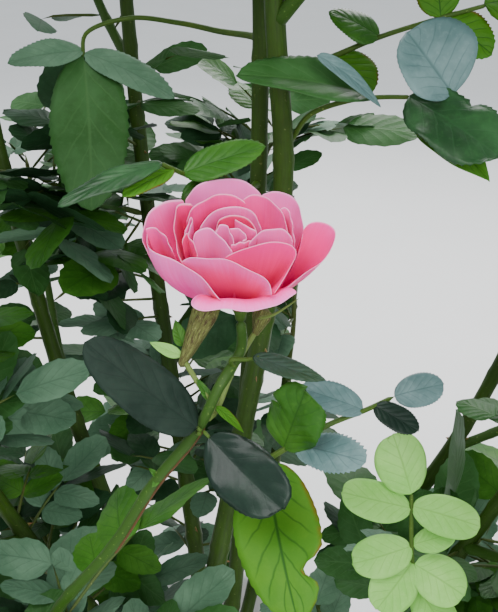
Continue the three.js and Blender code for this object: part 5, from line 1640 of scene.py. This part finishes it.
class ROSE_OT_first_bloom(RoseOperator):
    """The bloom of the front view, petal by petal, with its calyx and sepals"""

    bl_idname = "rose.first_bloom"
    bl_label = "First bloom"

    def build(self):
        bloom_piece("first_bloom_petals", PETALS.values(), BLOOM_CENTRE, BLOOM_AXIS, 1, "bloom_front")
        cup = sepal_arrays(BLOOM_CENTRE, BLOOM_AXIS, 1, 3)
        sepal = stalk_tube(all_from_bloom(LIP_SEPAL), (0.9, 0.3), 8, 12)
        piece_of("first_bloom_cup", cup, rind("calyx_cup"))
        piece_of("lip_sepal", sepal, rind("calyx_green"))


class ROSE_OT_later_blooms(RoseOperator):
    """Blooms on the bush outside the front view"""

    bl_idname = "rose.later_blooms"
    bl_label = "Later blooms"

    def build(self):
        for name, (bough, scale, seed) in LATER_BLOOMS.items():
            centre, axis = later_bloom_seat(bough, scale)
            bloom_piece(name + "_petals", ring_petals(seed), centre, axis, scale, name)
            calyx = sepal_arrays(centre, axis, scale, seed)
            piece_of(name + "_calyx", calyx, rind("calyx_green"))


# Ribs round a bud: how high, how many and how they turn along it
BUD_RIBS = ((0.09, np.cos, 5, 4), (0.05, np.sin, 13, 17))


class ROSE_OT_buds(RoseOperator):
    """The two buds beside the first bloom"""

    bl_idname = "rose.buds"
    bl_label = "Buds"

    def build(self):
        for name, bud in BUDS.items():
            places = all_from_bloom(bud["stalk"])
            tip = from_bloom(*bud["tip"])
            axis = unit(tip - places[-1])
            high = np.linalg.norm(tip - places[-1])
            way = Way([places[-1] - axis * 4, places[-1] + axis * high * 0.5, tip])
            shares, radii = zip(*BUD_SHAPE)
            radii = [radii[0], *(radius * bud["width"] for radius in radii[1:])]

            def radius(t, a, radii=radii):
                ribs = sum(rise * wave(number * a + t * turn) for rise, wave, number, turn in BUD_RIBS)
                return float(np.interp(t, shares, radii)) * (1 + ribs)

            skin = [once("bud_streaked", bud_material)]
            stalk = stalk_tube(places, (1.2, 1.4), 10, 14)
            piece_of(name + "_body", tube(way, radius, 40, 40), skin, (name,))
            piece_of(name + "_stalk", stalk, rind("calyx_green"))


# Small leaves at the forks of the flowering stem, as kind, root, tip and width
BRACTS = (
    ("young", (-28.5, -49, 46), (-43, -44, 43), 6.5),
    ("fresh", (-27.5, -44.5, 48), (-32.5, -33, 46), 7),
    ("fresh", (-13, -70.5, 38), (-22, -59.5, 40), 4.5),
    ("lime", (-11.5, -72.5, 37), (2.5, -83, 42), 5),
    ("fresh", (-40, -107.5, 52), (-44.5, -104, 51), 3),
    ("fresh", (-40, -109, 52), (-42, -112.5, 50), 3),
    ("lime", (-13, -89.5, 46), (-8.5, -110, 42), 8.5),
    ("slate", (33, 82, 8), (65, 67, 16), 9),
    ("lime", (80, 56, 23), (110, 34, 6), 22),
)
LIP_SEPAL = ((7, -31.5, 44), (14.5, -30, 40), (27, -22, 34))

# Each kind of leaf: slot, colour, paler patches, veins, then roughness, shine, share of light let
# through, how much the veins show and how much the rim browns. In the steel kind the paler patches,
# and in the slate kind the colour and the paler patches, are partly a painted sky reflection.
LEAF_KINDS = {
    "matt": ("leaf_dark", "leaf_deep", (38, 54, 44), (12, 24, 18), (0.58, 0.13, 0.03, 0.3, 0)),
    "deep": ("leaf_dark", "leaf_deep", (30, 52, 38), (22, 40, 28), (0.34, 0.2, 0.03, 0.2, 0)),
    # Steel: a dark green leaf whose grey-green patches are a painted sky reflection.
    "steel": ("leaf_dark", "leaf_dusk", (70, 94, 86), (30, 46, 40), (0.4, 0.25, 0.03, 0.4, 0)),
    "dusk": ("leaf_dark", "leaf_dusk", (54, 88, 58), (24, 46, 28), (0.5, 0.12, 0.08, 0.3, 0)),
    # Slate: blue-grey, partly the leaf's own and partly a painted sky sheen, in its colour and its paler
    # patches.
    "slate": ("leaf_dark", "leaf_slate", (124, 152, 150), (50, 80, 76), (0.5, 0.2, 0.08, 0.5, 0)),
    "grey": ("leaf_dark", "leaf_grey", (108, 142, 114), (54, 84, 62), (0.52, 0.12, 0.1, 0.4, 0)),
    "gloss": ("leaf_dark", "leaf_dusk", (58, 106, 58), (44, 84, 46), (0.38, 0.3, 0.1, 0.5, 0)),
    "mid": ("leaf_mid", "leaf_mid", (66, 108, 60), (74, 112, 62), (0.46, 0.15, 0.14, 0.4, 0)),
    "fresh": ("leaf_mid", "leaf_fresh", (82, 134, 46), (34, 76, 22), (0.4, 0.22, 0.22, 0.5, 0)),
    "lime": ("leaf_mid", "leaf_lime", (82, 132, 30), (28, 74, 20), (0.56, 0.15, 0.24, 0.8, 0.9)),
    "young": ("leaf_young", "leaf_young", (172, 224, 128), (112, 172, 70), (0.5, 0.2, 0.28, 0.5, 0)),
}


def leaf_piece(name, kind, leaves, columns, rows, draw, nodes):
    """Leaves of one kind, as one piece."""
    arrays = leaf_arrays(leaves, columns, rows, draw)
    blade = once("leaf_" + kind + "_blade", leaf_material, kind)
    return piece_of(name + kind, arrays, [blade], nodes)


def stalk_radius(radius, t, _):
    """Thick where the stalk clasps its limb, then tapering."""
    return radius * (1 - 0.4 * t + 1.1 * math.exp(-(t / 0.07) ** 2))


# A leaf with a bare stalk: how far, in lengths of the stalk, it starts inside and runs on
BARE_STALK = (-0.2, 1.4)


class ROSE_OT_shown_leaves(RoseOperator):
    """The sprays that the front view shows leaf by leaf"""

    bl_idname = "rose.shown_leaves"
    bl_label = "Shown leaves"

    def build(self):
        draw = seeded(41)
        stems = []
        by_kind, nodes = {}, {}
        for name, (limb, kind, radius, places, leaves) in SHOWN.items():
            stems.append(tube(Way(shown_stem(limb, places)), partial(stalk_radius, radius), 10, 50))
            for root, tip, width, facing, look in leaves:
                ends = all_from_bloom(look.get("moved", (root, tip)))
                leaf = leaf_at(*ends, width * look.get("slim", 1), facing)
                leaf.update(look)
                if "stalk" in look:
                    bare = leaf["along"] * leaf["length"] * look["stalk"]
                    stalk = [leaf["base"] + bare * share for share in BARE_STALK]
                    stems.append(stalk_tube(stalk, (1.1, 0.8), 8, 4))
                    leaf["base"] = leaf["base"] + bare
                    leaf["length"] *= 1 - look["stalk"]
                by_kind.setdefault(look.get("kind", kind), []).append(leaf)
            nodes.setdefault(leaves[0][-1].get("kind", kind), []).append(name)
        for kind, root, tip, width in BRACTS:
            leaf = leaf_at(*all_from_bloom((root, tip)), width, FRONTWARD)
            leaf.update(ends=(0.5, 0.9), teeth=0.0, fold=0.3, bend=0.12, pleat=0.3)
            by_kind[kind].append(leaf)
        piece_of("shown_leaf_stalks", join_arrays(stems), rind("leaf_stalk"))
        for kind in LEAF_KINDS:
            if kind in by_kind:
                piece = leaf_piece("shown_leaves_", kind, by_kind[kind], 12, 34, draw, nodes.get(kind, ()))
                piece.modifiers.new("Wall", "SOLIDIFY").thickness = sizes().blade


# Kinds of leaf in the crown, each up to a share of the sprays
CROWN_KINDS = {"dusk": 0.22, "grey": 0.48, "mid": 0.86, "fresh": 1}
CROWN_SEED = 2024
CROWN_ROLL = 1.1


class ROSE_OT_crown(RoseOperator):
    """The foliage grown by rule, carried to finer leaves within the same reach"""

    bl_idname = "rose.crown"
    bl_label = "Crown foliage"

    def build(self):
        draw = seeded(CROWN_SEED)
        twigs = []
        by_kind = {kind: [] for kind in CROWN_KINDS}
        for name, shoot in SHOOT_FRAMES.items():
            twigs.append(stalk_tube(shoot["places"], (SHOOT["radius"], SHOOT["tip"]), 7, 10))
            for stalk, leaves in grow_shoot(name) + grow_finer(name, sizes().finer):
                twigs.append(stalk_tube(stalk, (LEAF["radius"] * 0.8, LEAF["tip"] * 0.6), 5, 5))
                luck = draw()
                for leaf in leaves:
                    leaf["roll"] = CROWN_ROLL * (draw() - 0.5)
                by_kind[next(kind for kind, share in CROWN_KINDS.items() if luck < share)] += leaves
        piece_of("crown_twigs", join_arrays(twigs), rind("twig_rind"))
        for kind, leaves in by_kind.items():
            leaf_piece("crown_leaves_", kind, leaves, 4, 12, draw, list(SHOOTS) if kind == "mid" else ())


class ROSE_PT_panel(Panel):
    """Lists the sizes, the colours and the pieces"""

    bl_idname = "ROSE_PT_panel"
    bl_label = "Rose bush"
    bl_space_type = "VIEW_3D"
    bl_region_type = "UI"
    bl_category = "Rose bush"

    def draw(self, context):
        scene = context.scene
        for owner in (scene.rose_sizes, scene.rose_colours):
            box = self.layout.box()
            for prop in type(owner).__annotations__:
                box.prop(owner, prop)
        for step in STEPS:
            self.layout.operator(step.bl_idname)


STEPS = (ROSE_OT_stage, ROSE_OT_pot, ROSE_OT_medium, ROSE_OT_canes, ROSE_OT_boughs, ROSE_OT_first_bloom,
         ROSE_OT_later_blooms, ROSE_OT_buds, ROSE_OT_shown_leaves, ROSE_OT_crown)
CLASSES = (ROSE_PG_sizes, ROSE_PG_colours, *STEPS, ROSE_PT_panel)


def register():
    for cls in CLASSES:
        bpy.utils.register_class(cls)
    bpy.types.Scene.rose_sizes = PointerProperty(type=ROSE_PG_sizes)
    bpy.types.Scene.rose_colours = PointerProperty(type=ROSE_PG_colours)


def unregister():
    del bpy.types.Scene.rose_colours
    del bpy.types.Scene.rose_sizes
    for cls in reversed(CLASSES):
        bpy.utils.unregister_class(cls)


def main():
    register()
    for step in STEPS:
        area, call = step.bl_idname.split(".")
        getattr(getattr(bpy.ops, area), call)()


if __name__ == "__main__":
    main()
